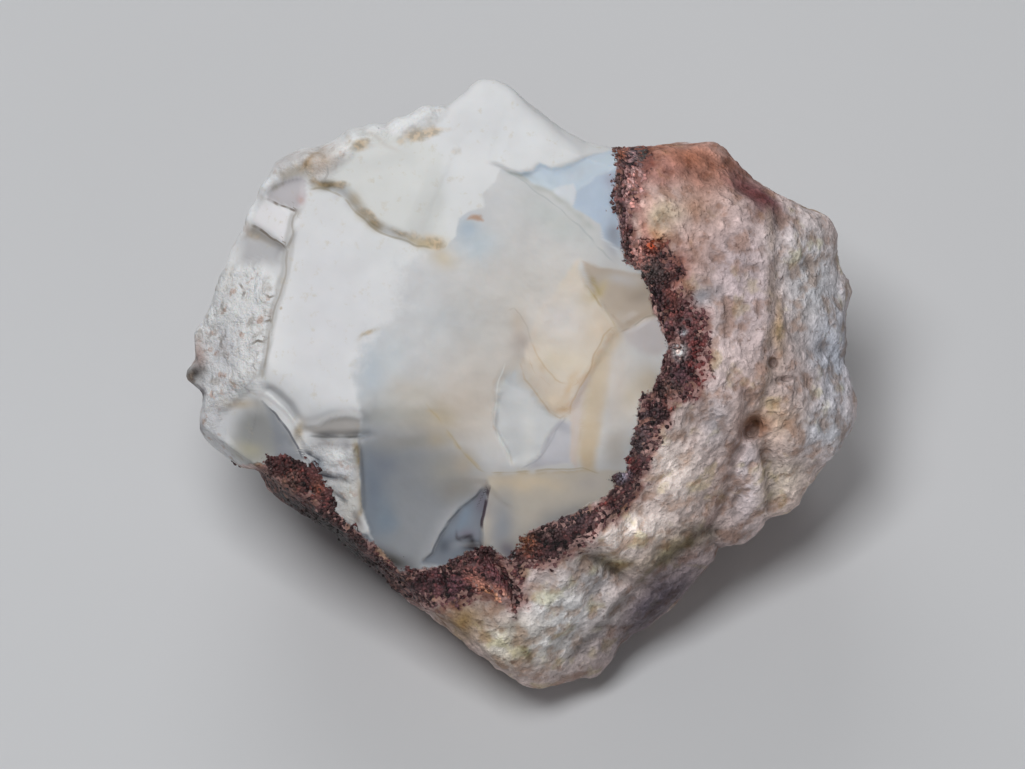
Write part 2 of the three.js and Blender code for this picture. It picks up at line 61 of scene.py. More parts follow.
# Widest outline of the stone, seen square to the face
OUTLINE = [
    (21.3, 1), (21.8, 2.7), (21.9, 4.3), (22.5, 6), (21, 9), (20.7, 10.5), (19.9, 11.1), (16.1, 12.7),
    (13.5, 15.3), (12.6, 15.9), (11.1, 15.9), (7.8, 15.4), (6.2, 15.4), (4.3, 15.8), (2.7, 16.7),
    (0.3, 18.5), (-0.9, 19.6), (-1.7, 20), (-2.9, 20.1), (-3.5, 19.6), (-3.9, 19.1), (-5, 18.3),
    (-5.9, 18.2), (-6.5, 18.3), (-7, 18), (-7.8, 17.5), (-8.4, 17.5), (-9.3, 16.9), (-9.8, 17.1),
    (-10.4, 17), (-10.7, 16.7), (-11.2, 16.8), (-11.7, 16.7), (-12.5, 15.9), (-13.5, 15.4), (-14, 15.3),
    (-14.7, 15.5), (-16, 14.7), (-16.6, 14.3), (-16.7, 13.8), (-17.6, 12.6), (-17.7, 12), (-18.4, 11.2),
    (-18.6, 10.4), (-19.4, 9.1), (-19.8, 7.6), (-20.9, 4.6), (-21.2, 4), (-21.8, 3.3), (-21.9, 2.1),
    (-21.8, 1.2), (-22.3, 0.9), (-22.5, 0.3), (-22.2, -0.2), (-21.5, -0.6), (-21.5, -1.2),
    (-21.6, -2.3), (-21.6, -3.3), (-21.3, -4.1), (-20.6, -4.8), (-19.8, -5.4), (-19, -5.9),
    (-17.7, -5.9), (-15.5, -8.1), (-11.5, -11.3), (-10.1, -12.2), (-8.1, -14.3), (-5.1, -17),
    (-0.2, -19.9), (1.1, -20.3), (5, -20), (6.6, -18), (10.5, -14.7), (12.3, -12), (12.8, -10.7),
    (13.4, -11), (14.5, -10.9), (15.2, -10.5), (15.9, -9.7), (16.1, -9.1), (17.5, -8.9), (18.3, -8.2),
    (18.5, -7.5), (20.3, -5.5), (21.3, -4.8), (22.3, -3.2), (22.3, -1.5),
]

# Broken faces that show: three corners of each, and how far its edges are rounded
FACES = {
    "white_sheet": ([(-15, 11.6, 9.6), (-17.3, 0, 10.2), (2, 5, 10.85)], 0.1),
    "left_bevel": ([(-15, 11.6, 9.6), (-17.3, 0, 10.2), (-21, 4, 5.9)], 0.1),
    "white_peak": ([(-6.5, 15, 9.9), (5, 14, 10.4), (-2.5, 20, 7.2)], 0.8),
    "upper_right": ([(-1.3, 13.8, 10.5), (5.2, 9.5, 10.8), (6, 14.5, 9.3)], 0.1),
    "dish": ([(-10.3, -3.2, 10.35), (-2.4, -6.3, 10.9), (-8, -12.5, 7)], 0.6),
    "low_facet": ([(-2.4, -6.2, 11), (5.5, -6.2, 11.4), (1.5, -11.7, 8.9)], 0.08),
    "lobe": ([(-15.9, -1.9, 9.5), (-21.2, -2.7, 6.3), (-17.4, -5.7, 7)], 0.4),
    "rock_face": ([(7, 12, 10.2), (10, 0, 10.5), (16.5, 8, 7.4)], 1.2),
    "rock_far_side": ([(16.5, 8, 7.4), (17, -2, 7), (21.5, 4, 2.4)], 1.2),
    "rock_top": ([(7, 13.2, 10), (15, 11, 7.4), (12, 15.8, 5)], 1.2),
    "rock_bottom": ([(-1, -12, 8.7), (7, -10.5, 9.3), (2, -18.5, 5.4)], 1.2),
    "rock_lower_right": ([(11.8, -10, 6.6), (3, -18.3, 4.6), (11, -15, 1)], 0.3),
    "rock_right_block": ([(14.5, -4, 7), (20, -3, 4.4), (17, -8.5, 1.8)], 1.2),
    "under_left": ([(-17.5, -5.8, 6.8), (-8.4, -12.8, 6.8), (-14.6, -9.4, 1)], 0.2),
}

# Breaks on the far side: direction in the stone's own frame, distance from the middle, rounding
BREAKS = {
    "back_left": ((-0.5, 0.84, 0.22), 17, 0.8),
    "back_right": ((0.3, 0.93, 0.2), 15.8, 0.8),
    "back_low": ((0.05, 0.62, -0.78), 14.6, 1.5),
    "left_side": ((-0.93, 0.22, -0.3), 18.6, 0.8),
    "right_side_back": ((0.8, 0.55, -0.25), 18.6, 1.5),
    "right_side_front": ((0.86, -0.3, -0.42), 19.2, 1.5),
    "left_low": ((-0.62, -0.42, -0.66), 16.2, 1),
    "left_back_low": ((-0.6, 0.62, -0.5), 17.2, 1),
    "front_low": ((0.1, -0.8, -0.59), 17.2, 1.2),
}
BREAKS_FULL_AT = 0.45

# Ledges: the line, rise and reach on its left, rise and reach on its right, width of the step, fade
# at the ends, and height and half width of a crest along the line
LEDGES = {
    "plate": (
        [(-14.5, 12.7), (-13.6, 12.9), (-12.7, 12.9), (-11.8, 12.7), (-11.2, 12), (-10.6, 11.2),
         (-9.9, 10.5), (-9.3, 10.1), (-8.2, 9.7), (-7.1, 9.2), (-6.1, 8.8)],
        (0.6, 5), (-0.08, 1.5), 0.7, 2.5, (0, 1)),
    "mound": (
        [(-2.5, 14.6), (-1.6, 14.3), (-0.9, 13.9), (-0.2, 13.7), (0.7, 13.9), (1.1, 14.3), (1.9, 14),
         (3.1, 14.3), (4.3, 14.9), (6.1, 15.4)],
        (0.3, 3), (0, 1), 0.3, 1, (0, 1)),
    "sheet_end_left": (
        [(-17.4, -0.2), (-16.7, -0.4), (-16, -0.9), (-15.4, -1.5), (-14.9, -2.3), (-14.5, -2.8)],
        (0.12, 1.5), (-0.45, 0.8), 0.5, 0.5, (0, 1)),
    "sheet_end": (
        [(-14.9, -2.4), (-14.3, -2.8), (-13.6, -2.6), (-12.8, -2.3), (-11.8, -2.2), (-10.7, -2.3),
         (-9.8, -2.5)],
        (0.12, 1.2), (-0.6, 1.8), 1, 0.8, (0, 1)),
    "sheet_undercut": (
        [(-14.3, -3.6), (-13.2, -3.7), (-12, -3.7), (-10.6, -3.6), (-9.4, -3.5)],
        (0, 1), (0, 1), 1, 1.2, (-0.4, 0.28)),
    "lip": (
        [(-18.6, -0.9), (-17.4, -0.8), (-16.7, -1.3), (-15.9, -2), (-15.2, -2.9), (-14.8, -3.7),
         (-14.6, -4.8)],
        (0, 1), (-0.4, 2.2), 0.3, 1, (0.4, 0.45)),
    "groove_high": (
        [(-14.5, -4.6), (-13.9, -5), (-13.3, -5.4)],
        (0.1, 0.5), (-0.1, 0.6), 0.3, 0.3, (-0.2, 0.2)),
    "groove_middle": (
        [(-13.7, -6.2), (-12.9, -6.4), (-12.2, -6.5), (-11.6, -6.8)],
        (0.1, 0.5), (-0.1, 0.6), 0.3, 0.4, (-0.25, 0.22)),
    "groove_low": (
        [(-12.8, -7.4), (-12.2, -7.7), (-11.6, -8.3)],
        (0.1, 0.5), (-0.1, 0.6), 0.3, 0.3, (-0.15, 0.2)),
    "dish_bank": (
        [(-10.9, -4), (-10.7, -6), (-10.6, -8), (-10.7, -8.8), (-9.9, -10.3)],
        (0, 1), (0.35, 1.2), 0.2, 0.5, (0, 1)),
    "chipped_lens": (
        [(-6.9, -12.1), (-6, -11.5), (-5.5, -10.3), (-5, -9.5), (-4.2, -8.5), (-3.1, -7.7),
         (-2.3, -6.8)],
        (0.05, 1), (-0.3, 2), 0.3, 0.5, (0, 1)),
    "lens_crack": (
        [(-2.3, -6.5), (-2.4, -8), (-2.7, -9.2), (-2.7, -11.2)],
        (0.05, 1), (-0.3, 1.8), 0.25, 0.5, (0, 1)),
    "grey_facet_left": (
        [(-1.1, 0.8), (-1.4, 0.1), (-1.8, -1.4), (-1.9, -3.2), (-1.1, -4.6), (-0.7, -5.9)],
        (-0.2, 2), (0.05, 1), 0.2, 0.8, (0, 1)),
    "grey_facet_right": (
        [(-0.1, 2), (0.5, 0.3), (1.1, -1.3), (1.9, -2.1), (2.7, -2.5)],
        (0.08, 1.5), (-0.12, 1.5), 0.3, 1.2, (0, 1)),
    "grey_facet_low": (
        [(2.7, -2.5), (1.8, -3.5), (1.1, -5), (0, -5.9)],
        (-0.1, 1.5), (0, 1), 0.2, 0.8, (0, 1)),
    "honey_facet_right": (
        [(3, -2.3), (3.8, -0.7), (4.2, 0.3), (4.9, 1.3), (5.4, 2.3), (6.3, 3.6)],
        (0.08, 2), (-0.08, 2), 0.3, 1, (0, 1)),
    "honey_facet_top": (
        [(6.8, 3.2), (6.1, 3.9), (5.1, 5), (4.3, 6.1), (3.7, 7.3)],
        (0.03, 2), (-0.12, 2.5), 0.3, 1.5, (0, 1)),
    "rim_facet": (
        [(9.3, 4.5), (7.6, 3.7), (6.6, 3.2)],
        (0.03, 2), (-0.1, 2), 0.3, 1, (0, 1)),
    "bevel_chip_top": (
        [(-17.3, 12.3), (-16.5, 13.1), (-15.3, 13.4), (-14.3, 13.5)],
        (0.25, 1), (-0.12, 1), 0.3, 0.5, (0, 1)),
    "bevel_chip_line": (
        [(-17.2, 12), (-16.2, 11.6), (-15, 11.1)],
        (-0.15, 0.8), (0, 0.6), 0.12, 0.2, (0, 1)),
    "bevel_chip_low": (
        [(-18.2, 10.4), (-17.5, 10.1), (-16.9, 9.7), (-16.3, 9.2), (-15.6, 8.7)],
        (0.3, 1.3), (-0.35, 1.4), 0.25, 0.5, (0, 1)),
    "rock_valley": (
        [(16.5, 11.7), (16.7, 8), (16.4, 3.3), (16.5, 0.7), (15.7, -1.7), (15, -3.5)],
        (-0.5, 1.3), (0.1, 1.5), 0.8, 2, (0, 1)),
    "rock_step": (
        [(14.7, -0.3), (14.5, -3.3), (13.7, -6), (12.9, -8.5), (11.9, -10.5)],
        (-0.55, 2.2), (0.25, 2), 0.8, 1, (0, 1)),
    "rock_block": (
        [(14.6, -3.9), (15.4, -4), (16.1, -6), (16.2, -8), (16, -9.3)],
        (-0.6, 1.6), (0.35, 2), 0.6, 0.8, (0, 1)),
    "side_edge": (
        [(12, -10), (10.5, -11.2), (9.3, -12.1), (8, -13.2), (6.7, -14.5), (5.3, -16.3), (3.7, -17.9),
         (2.3, -19.2)],
        (-0.5, 2.5), (0.15, 1), 0.8, 1, (0, 1)),
    "low_valley": (
        [(3.7, -11.7), (5.2, -12.1), (6.3, -12.9), (7, -13.8)],
        (0.1, 1), (0.1, 1), 0.8, 0.8, (-0.4, 0.5)),
    "red_ridge": (
        [(-4.5, -12.1), (-2.8, -12.8), (-1.8, -13.7), (-0.8, -14.9)],
        (0, 1), (0, 1), 1, 0.8, (0.5, 0.5)),
    "red_crack": (
        [(-2.7, -11.2), (-1.7, -12.4), (-0.7, -13.7), (-0.3, -15.1)],
        (0.1, 1), (0, 1), 0.2, 0.3, (-0.5, 0.25)),
}

# Swells and hollows: x, y, half length, half width, turn in degrees, height
SWELLS = [
    (-6.5, -7.2, 3.2, 3.5, 20, -0.55),
    (-18.2, -3.3, 2.3, 1.7, -30, -0.45),
    (6.8, -10.4, 2.4, 1.2, 5, 0.7),
    (10.1, -6.5, 2, 2, 0, 0.5),
    (2.5, -15.9, 2.8, 1.7, 20, 0.45),
    (-1.5, -16.1, 1.5, 1.3, 0, 0.35),
    (6.2, -12.7, 2.3, 0.6, -35, -0.6),
    (4.5, -11.7, 1.6, 0.6, 10, -0.4),
    (8.5, -2.7, 1.2, 2, 30, 0.3),
    (18.5, 9, 1.6, 1.3, 0, 0.55),
    (21, 6, 0.6, 1.7, 0, -0.5),
    (19.3, 4.1, 1.2, 1.5, 0, 0.4),
    (20.1, 1.9, 0.9, 0.7, 20, -0.6),
    (18.9, 7.7, 0.6, 0.5, 30, -0.4),
    (20.9, -1.6, 1.2, 1.3, 0, 0.5),
    (18.5, 2.3, 0.7, 0.8, 0, -0.35),
    (17.8, -4.5, 1.3, 1.1, 0, 0.5),
    (17, -2.5, 1.1, 0.9, 0, -0.4),
    (15.3, -7.5, 0.8, 2.3, 0, 0.4),
    (19.3, -6, 0.8, 0.7, 0, -0.3),
    (11.3, 5.5, 1.5, 0.7, 20, -0.35),
    (8.8, 8.8, 0.8, 0.7, 0, -0.3),
    (9.7, 11.7, 1.7, 1.1, 20, 0.35),
    (13.3, 13, 1.6, 1.2, -30, 0.3),
    (14.3, 7.7, 1.1, 2.3, 0, 0.3),
    (12.6, 0.5, 1.2, 2.3, 0, 0.3),
    (16.8, 12.3, 0.9, 0.6, -30, -0.3),
    (-6.2, 16.7, 1.3, 0.6, 20, -0.25),
    (-17.4, 12.9, 0.6, 0.8, -40, 0.35),
    (-15.6, 14.6, 0.9, 0.5, 35, 0.4),
    (-14.2, 14.7, 0.6, 0.6, 0, 0.3),
    (-12.5, 15.2, 0.7, 0.5, 40, 0.3),
    (-11.2, 16.3, 0.6, 0.6, 0, 0.3),
    (-10, 16.6, 0.6, 0.5, 0, 0.25),
    (-8.1, 17.1, 0.8, 0.5, 20, 0.25),
    (-6.6, 17.8, 0.5, 0.5, 0, 0.25),
    (-18.6, 10.7, 0.5, 0.8, -25, 0.3),
    (-12.9, 14.8, 1.7, 0.6, 25, 0.3),
    (-9.5, 15.3, 2.7, 0.9, 10, 0.2),
    (-13.5, -4.4, 0.8, 0.4, -10, 0.12),
    (-12.5, -5.2, 0.75, 0.5, 10, 0.3),
    (-11.4, -4.8, 0.5, 0.6, 0, 0.25),
    (-12, -6, 0.6, 0.35, -10, 0.15),
    (-12.3, -7, 0.6, 0.4, -30, 0.2),
    (-11.3, -8, 0.5, 1.1, 10, 0.25),
    (-13.3, -6, 0.5, 0.3, -30, 0.15),
]

# Holes in the rock: x, y, half length, half width, turn in degrees, depth
HOLES = [
    (15.2, -3.1, 0.6, 0.9, -20, 1.6),
    (16.6, 1.1, 0.33, 0.4, 0, 0.9),
    (17.5, 0.1, 0.6, 0.2, 10, 0.6),
    (19.3, 7, 0.2, 0.13, 0, 0.3),
]

# Edge of the opal on the face, and how far behind the middle its layer goes
OPAL_EDGE = [
    (7.8, 24), (6.3, 15.3), (6.1, 12), (6.8, 7.9), (8.2, 7), (8.6, 4.7), (9.7, 2.3), (8.8, -0.3),
    (7.8, -1.3), (7.5, -3.3), (7, -6), (5.5, -7.7), (3.1, -9), (0.5, -10), (-0.7, -12),
    (-2.2, -11.2), (-3.7, -11.5), (-5.5, -12.4), (-8.2, -12.8), (-9.2, -11.5), (-12.3, -9),
    (-14.9, -6.7), (-17.4, -5.5), (-21.5, -6), (-30.9, -6), (-30.9, 24),
]
OPAL_BACK = -7.0
OPAL_BACK_SLOPE = 0.8
OPAL_BACK_WAVER = 0.6
OPAL_BACK_WAVE = 4.0
OPAL_SEED = 7

# Chalky, pitted parts of the opal: outline, strength. They come up between two depths inside it.
CHALK_EDGES = {
    "bevel": (
        [(-20.3, 7.5), (-17.4, 7.9), (-16.3, 6), (-17, 2.3), (-17.7, -0.3), (-19, -1.2), (-20, -2.2),
         (-20, -3.6), (-19, -5), (-18, -5.8), (-18, -7), (-24, -5), (-24, 1.3), (-22.6, 4)],
        0.9),
    "terraces": (
        [(-14.6, -3.9), (-10.8, -3.9), (-10.9, -9), (-10.3, -10.4), (-12, -10), (-13.5, -6.5),
         (-14.7, -5)],
        0.6),
    "scallops": (
        [(-20.3, 7.5), (-18.4, 9.6), (-17.5, 11.6), (-16.7, 13), (-14.5, 13.9), (-13, 14.2),
         (-11.5, 15.2), (-9.5, 15.8), (-8, 16.2), (-6, 17), (-5, 18), (-5, 22), (-20, 22), (-25, 12)],
        0.4),
    "knob": (
        [(-15.2, 14.4), (-14, 13), (-13.2, 13.2), (-12.4, 14), (-11.4, 15), (-12, 16), (-15, 16)], 0.5),
}
CHALK_FADES = (-0.4, 0.6)

# Roughness of the broken surfaces: size of the largest lumps, height, fading of smaller ones, seed
LUMP_OCTAVES = 5
ROCK_LUMPS = (4.5, 0.45, 0.6, 3)
RIND_LUMPS = (5.0, 0.35, 0.62, 23)
OPAL_WAVES = (3.0, 0.05, 0.5, 11)
ROCK_GRAIN_STRETCH = 0.75
OCTAVE_SHIFT = 17.3
RELIEF_STARTS = (0.5, 4.0)
ROCK_ROUGHNESS_STARTS = (0.2, -1)

# Values on the sides turn from those of the face to those of the hidden parts over these heights
FRONT_STARTS = (-2.0, -0.3)
CLEAR_FACES_HEIGHT = 1.0

# Colours are written as they look in the soft light. The stone's own colour is lighter by this much,
# up to the lightest that a stone can be.
OWN_COLOUR_LIFT = 1.27
LIGHTEST = 0.95

# How far the borders of patches stray, over what distance, and seed
FACET_WAVER = (0.1, 0.8, 41)
PATCH_WAVER = (0.25, 1.2, 31)
ROCK_WAVER = (0.5, 1.5, 51)

# Gaps in lines: over what distance, seed, and the random values between which a line comes up
LINE_GAPS = (0.6, 43)
DRAWN_COMES_UP = (-0.9, 0.2)
THIN_COMES_UP = (-1, -0.2)
# Width of lines: how far it changes, over what distance, and seed. Ends fade over a length.
WIDTH_CHANGE = 0.4
WIDTH_PATTERN = (1.3, 47)
DRAWN_FADE = 1.0
DRAWN_FADE_SHARE = 1 / 3
THIN_FADE = 0.4

# White opal: edge of the white zone on the face, the width over which it turns clear, and how far
# the hidden parts lie inside the zone
WHITE_EDGE = [
    (7.8, 16), (6.2, 15.3), (4.3, 14.9), (3.1, 14.3), (1.9, 14), (1.1, 14.4), (0.7, 13.9),
    (-0.2, 13.7), (-0.9, 13.9), (-1.5, 14.1), (-1.8, 13.2), (-2.7, 12.3), (-2.5, 11.5), (-3.7, 11.1),
    (-4.3, 10.7), (-4.4, 9.6), (-5.2, 8.7), (-7.2, 8.3), (-8.2, 7.6), (-8.2, 4.7), (-10.5, 2.7), (-11.1, 2),
    (-11.2, 0.4), (-11, -0.8), (-10.7, -2.7), (-10.9, -3.7), (-10.8, -8), (-10, -10.6), (-12.3, -9),
    (-14.9, -6.7), (-17.4, -6), (-24.9, -6), (-24.9, 24), (7.8, 24),
]
CRISP_EDGE = 0.12
SOFT_EDGE = 0.9
SOFT_EDGE_MIDDLE = (-9.0, 4.5, 3.0, 6.0, 0)
HIDDEN_WHITE = 3.0

# Patches of colour on the face: x, y, half length, half width, turn in degrees, colour, share
WHITE_COLOUR = "#d0d1d2"
WHITE_PATCHES = [
    (-8.5, 12, 5, 3, -25, "#ced0cf", 0.9),
    (-2.4, 17, 3.5, 2.6, 0, "#c8c9cb", 0.9),
    (-13, 4.5, 4, 7, 0, "#cccccf", 0.9),
    (-18.8, 3.5, 2.4, 5, -15, "#e8e7e9", 0.95),
    (-20.4, -2.5, 1.2, 3, 10, "#cfcfd2", 0.8),
    (-20.3, -4.9, 1.7, 0.45, -38, "#dedee0", 0.9),
    (-21.3, -2.6, 0.4, 1.2, 0, "#dadadd", 0.8),
    # Bluish-white patches along the top-left edge: partly whiter opal, partly painted rim light
    (-10.5, 16.3, 4.5, 0.7, 22, "#dedfe3", 0.9),
    (-15.6, 14.9, 1.8, 0.5, 32, "#dcdde1", 0.8),
    (-18.2, 11.9, 0.5, 2.2, -28, "#dcdde1", 0.8),
    (-13.9, 14.2, 1, 0.8, 30, "#bfb3a7", 0.6),
    (-12.2, 15.2, 0.6, 0.5, 0, "#dedcda", 0.9),
    (-13.7, 14.1, 0.45, 0.45, 0, "#cfcac6", 0.8),
    (-19.9, 2, 0.9, 1.6, 0, "#c0bfc4", 0.7),
    (-15.8, 14.7, 1.2, 0.7, 20, "#b5b0ae", 0.8),
    (-13.4, 14.6, 0.9, 0.7, 0, "#c0b1a5", 0.8),
    (-21.6, 1.7, 0.5, 1, 0, "#a98f88", 0.8),
    (-21.9, 0.4, 0.75, 0.75, 0, "#2d2521", 1),
    (-22.3, 0.1, 0.3, 0.4, 0, "#7d6a58", 0.8),
    (-21.5, -0.9, 0.3, 0.35, 0, "#5d4c50", 0.9),
    (-21.5, -3.3, 0.3, 0.4, 0, "#6a6068", 0.8),
    (-13, -5.5, 2, 2, 0, "#b7b7ba", 0.8),
    (-11.7, -8.3, 0.9, 2.4, 15, "#bab6b2", 0.9),
    (-14.9, -7.3, 0.4, 0.3, 0, "#c5c5c8", 0.9),
    (-5.9, 9.1, 1.2, 0.55, -12, "#c3b498", 0.75),
]

# Facets of the white opal: outline, softness of its edge, colour, share
WHITE_FACETS = {
    "plate_face": (
        [(-10.9, 16.5), (-9.2, 16.5), (-6.5, 15.8), (-5.5, 15), (-5.3, 12), (-5.1, 9.9), (-8.2, 9.7),
         (-9.5, 10.5), (-11.2, 11.7), (-11.9, 13), (-13, 13.4), (-11.5, 14.7), (-11.4, 15.3)],
        0.3, "#cbccca", 0.9),
    "chip_border": ([(-16.3, 13.8), (-14.8, 14.3), (-14.4, 13.7), (-15.9, 13.2)], 0.25, "#a59d92", 0.8),
    # Greyer chip: painted shade on a facet that faces away from the light
    "chip_high": (
        [(-17.1, 12), (-16.7, 12.7), (-16.1, 13.2), (-14.9, 13.5), (-14.4, 13.2), (-14.4, 12.3),
         (-15, 11.3)],
        0.1, "#bbb7ba", 0.95),
    # Lighter chip: painted light on a facet that faces the light
    "chip_low": (
        [(-17.3, 11.8), (-15.1, 11.1), (-15.2, 9.9), (-15.7, 9), (-17, 9.9), (-17.9, 10.4),
         (-17.7, 11.2)],
        0.1, "#dcdadc", 0.95),
    "bevel_smooth": (
        [(-18.7, 9.6), (-17.4, 9.4), (-15.9, 8.7), (-16.1, 7.8), (-17.4, 7.6), (-18.9, 7.9)],
        0.5, "#acabad", 0.9),
    "chip_shade": (
        [(-18.4, 10.2), (-17.9, 10.2), (-17, 9.7), (-15.7, 8.6), (-16.6, 8.9), (-17.5, 9.3), (-18.5, 9.5)],
        0.25, "#989088", 0.85),
    "sheet_border": (
        [(-15.5, 11.1), (-14.6, 11.6), (-15.1, 10.4), (-15.2, 9.1), (-15.4, 7.5), (-15.8, 5.7),
         (-16.4, 3.9), (-16.8, 2), (-17.1, 0.3), (-17.5, 0.3), (-17.3, 2.1), (-17, 4),
         (-16.5, 5.8), (-16.1, 7.4), (-15.9, 8.8), (-15.7, 9.8)],
        0.12, "#b3b2b1", 0.85),
    "lobe": (
        [(-18.4, -1.9), (-17.3, -1.6), (-16.6, -2.2), (-15.8, -3.3), (-15.2, -4.2),
         (-14.8, -5.2), (-17.3, -5.6), (-18.3, -5.8), (-19, -4.9), (-19.3, -3.8), (-19, -2.6)],
        0.9, "#8d8d8c", 0.95),
    "lobe_right": (
        [(-17.1, -1.4), (-16.3, -2.4), (-15.6, -3.4), (-15, -4.4), (-14.7, -5.3), (-16.4, -5.6),
         (-16.5, -4.2)],
        0.35, "#82868e", 0.75),
    "lip_shade": (
        [(-17.4, -0.2), (-16.7, -0.3), (-16, -0.7), (-15.3, -1.4), (-14.8, -2.2), (-15, -2.9),
         (-15.6, -2.3), (-16.2, -1.6), (-16.9, -1), (-17.4, -0.7)],
        0.3, "#a9aaac", 0.85),
    # Bright lip: partly whiter opal, partly painted highlight along its crest
    "lip": (
        [(-18.2, -0.8), (-17.4, -0.7), (-16.8, -1), (-16.1, -1.7), (-15.4, -2.4), (-14.9, -3.1),
         (-14.6, -4), (-14.6, -5), (-15, -4.4), (-15.6, -3.4), (-16.3, -2.4), (-17, -1.5),
         (-17.8, -1.1)],
        0.12, "#e0e0e1", 0.95),
    # Bright curled edge of the sheet: painted highlight along its crest
    "sheet_curl": (
        [(-14.4, -2.9), (-13.7, -2.7), (-12.8, -2.1), (-11.8, -1.9), (-10.9, -2.1), (-10.9, -2.6),
         (-11.8, -2.4), (-12.8, -2.6), (-13.7, -3.1)],
        0.15, "#e2e2e3", 0.9),
    # Grey band under the curled edge of the sheet: painted shadow
    "sheet_under": (
        [(-14.5, -3.1), (-13.6, -3), (-12.8, -2.6), (-11.8, -2.4), (-10.8, -2.6), (-10.6, -3.6),
         (-12, -3.7), (-13.9, -3.6), (-14.4, -3.4)],
        0.2, "#a09c99", 0.95),
}
# Soft patches over the white facets, as the patches above: tints, and on the terraces painted highlights on
# the lumps and painted shade between them
WHITE_SHADES = [
    (-18.2, -4.8, 1, 0.6, -20, "#a9a48e", 0.7),
    (-18.8, -1.5, 1.2, 0.4, 5, "#b5a793", 0.8),
    (-14.8, -3.3, 0.35, 0.8, -20, "#a89a84", 0.9),
    (-13.2, -4.4, 0.9, 0.35, -5, "#8f8e90", 0.9),
    (-12.5, -5.1, 0.85, 0.55, 0, "#e2e2e5", 1),
    (-11.8, -4.4, 0.6, 0.3, -10, "#98979b", 0.8),
    (-13.7, -5.6, 0.5, 0.35, -30, "#8b949e", 0.9),
    (-12.8, -6.4, 0.9, 0.28, -10, "#74767d", 0.9),
    (-12, -6, 0.7, 0.35, 0, "#d8d8dc", 0.9),
    (-11.9, -7.3, 0.6, 0.5, -30, "#989ba1", 0.8),
    (-11.5, -8, 0.5, 1.3, 10, "#dcdad5", 0.9),
    (-11.1, -4.5, 0.3, 0.6, 0, "#948867", 0.8),
    (-11, -5.4, 0.25, 0.6, 0, "#857652", 0.8),
    (-10.9, -7.5, 0.2, 0.9, 0, "#a8926a", 0.7),
    (-11, -9.2, 0.3, 0.8, 20, "#726a69", 0.8),
    (-14.9, 12.1, 0.3, 0.3, 0, "#b29b9b", 0.9),
]
CLEAR_COLOUR = "#bfc0c2"
CLEAR_PATCHES = [
    (1.5, 2.5, 5.5, 7, 10, "#bdb5aa", 0.8),
    (-2.2, 2, 2.4, 3.4, 0, "#b4afaa", 0.8),
    (-4.4, -2, 3.4, 2.6, 20, "#b6ab9f", 0.9),
    (-3.5, 4, 1.8, 1.8, 0, "#b3b2b0", 0.7),
    (-5.5, 4, 1.6, 1.2, 0, "#b7b9bb", 0.7),
    (-10.2, 0.6, 1, 2.6, 0, "#acb3ba", 1),
    (-8.8, 1.2, 1.4, 1.6, 0, "#b4b9bc", 0.7),
    (-9, -1.2, 1.4, 1, 0, "#abacab", 0.8),
    (-7.3, -0.8, 1.5, 1, 0, "#b3ada4", 0.9),
    (-7.3, -2.4, 2, 0.9, 0, "#a09b91", 0.9),
    (-9.4, -2.5, 1.4, 0.8, 0, "#a2a29f", 0.9),
    (-5.4, -2.4, 0.9, 0.9, -30, "#aca08c", 0.9),
    (-0.3, 2.5, 0.55, 1, 0, "#a39891", 0.9),
    (-0.3, 3.8, 0.6, 0.8, 0, "#b4a798", 0.8),
    (-3.6, 9.9, 0.8, 1, 0, "#a5b2bd", 1),
    (-2.8, 9, 1.2, 1, 0, "#b2bbc1", 0.9),
    (2.2, 10.6, 3, 0.9, -35, "#b4b7b5", 0.9),
    (-5.3, 8.2, 1, 0.7, -25, "#bcae94", 0.7),
]

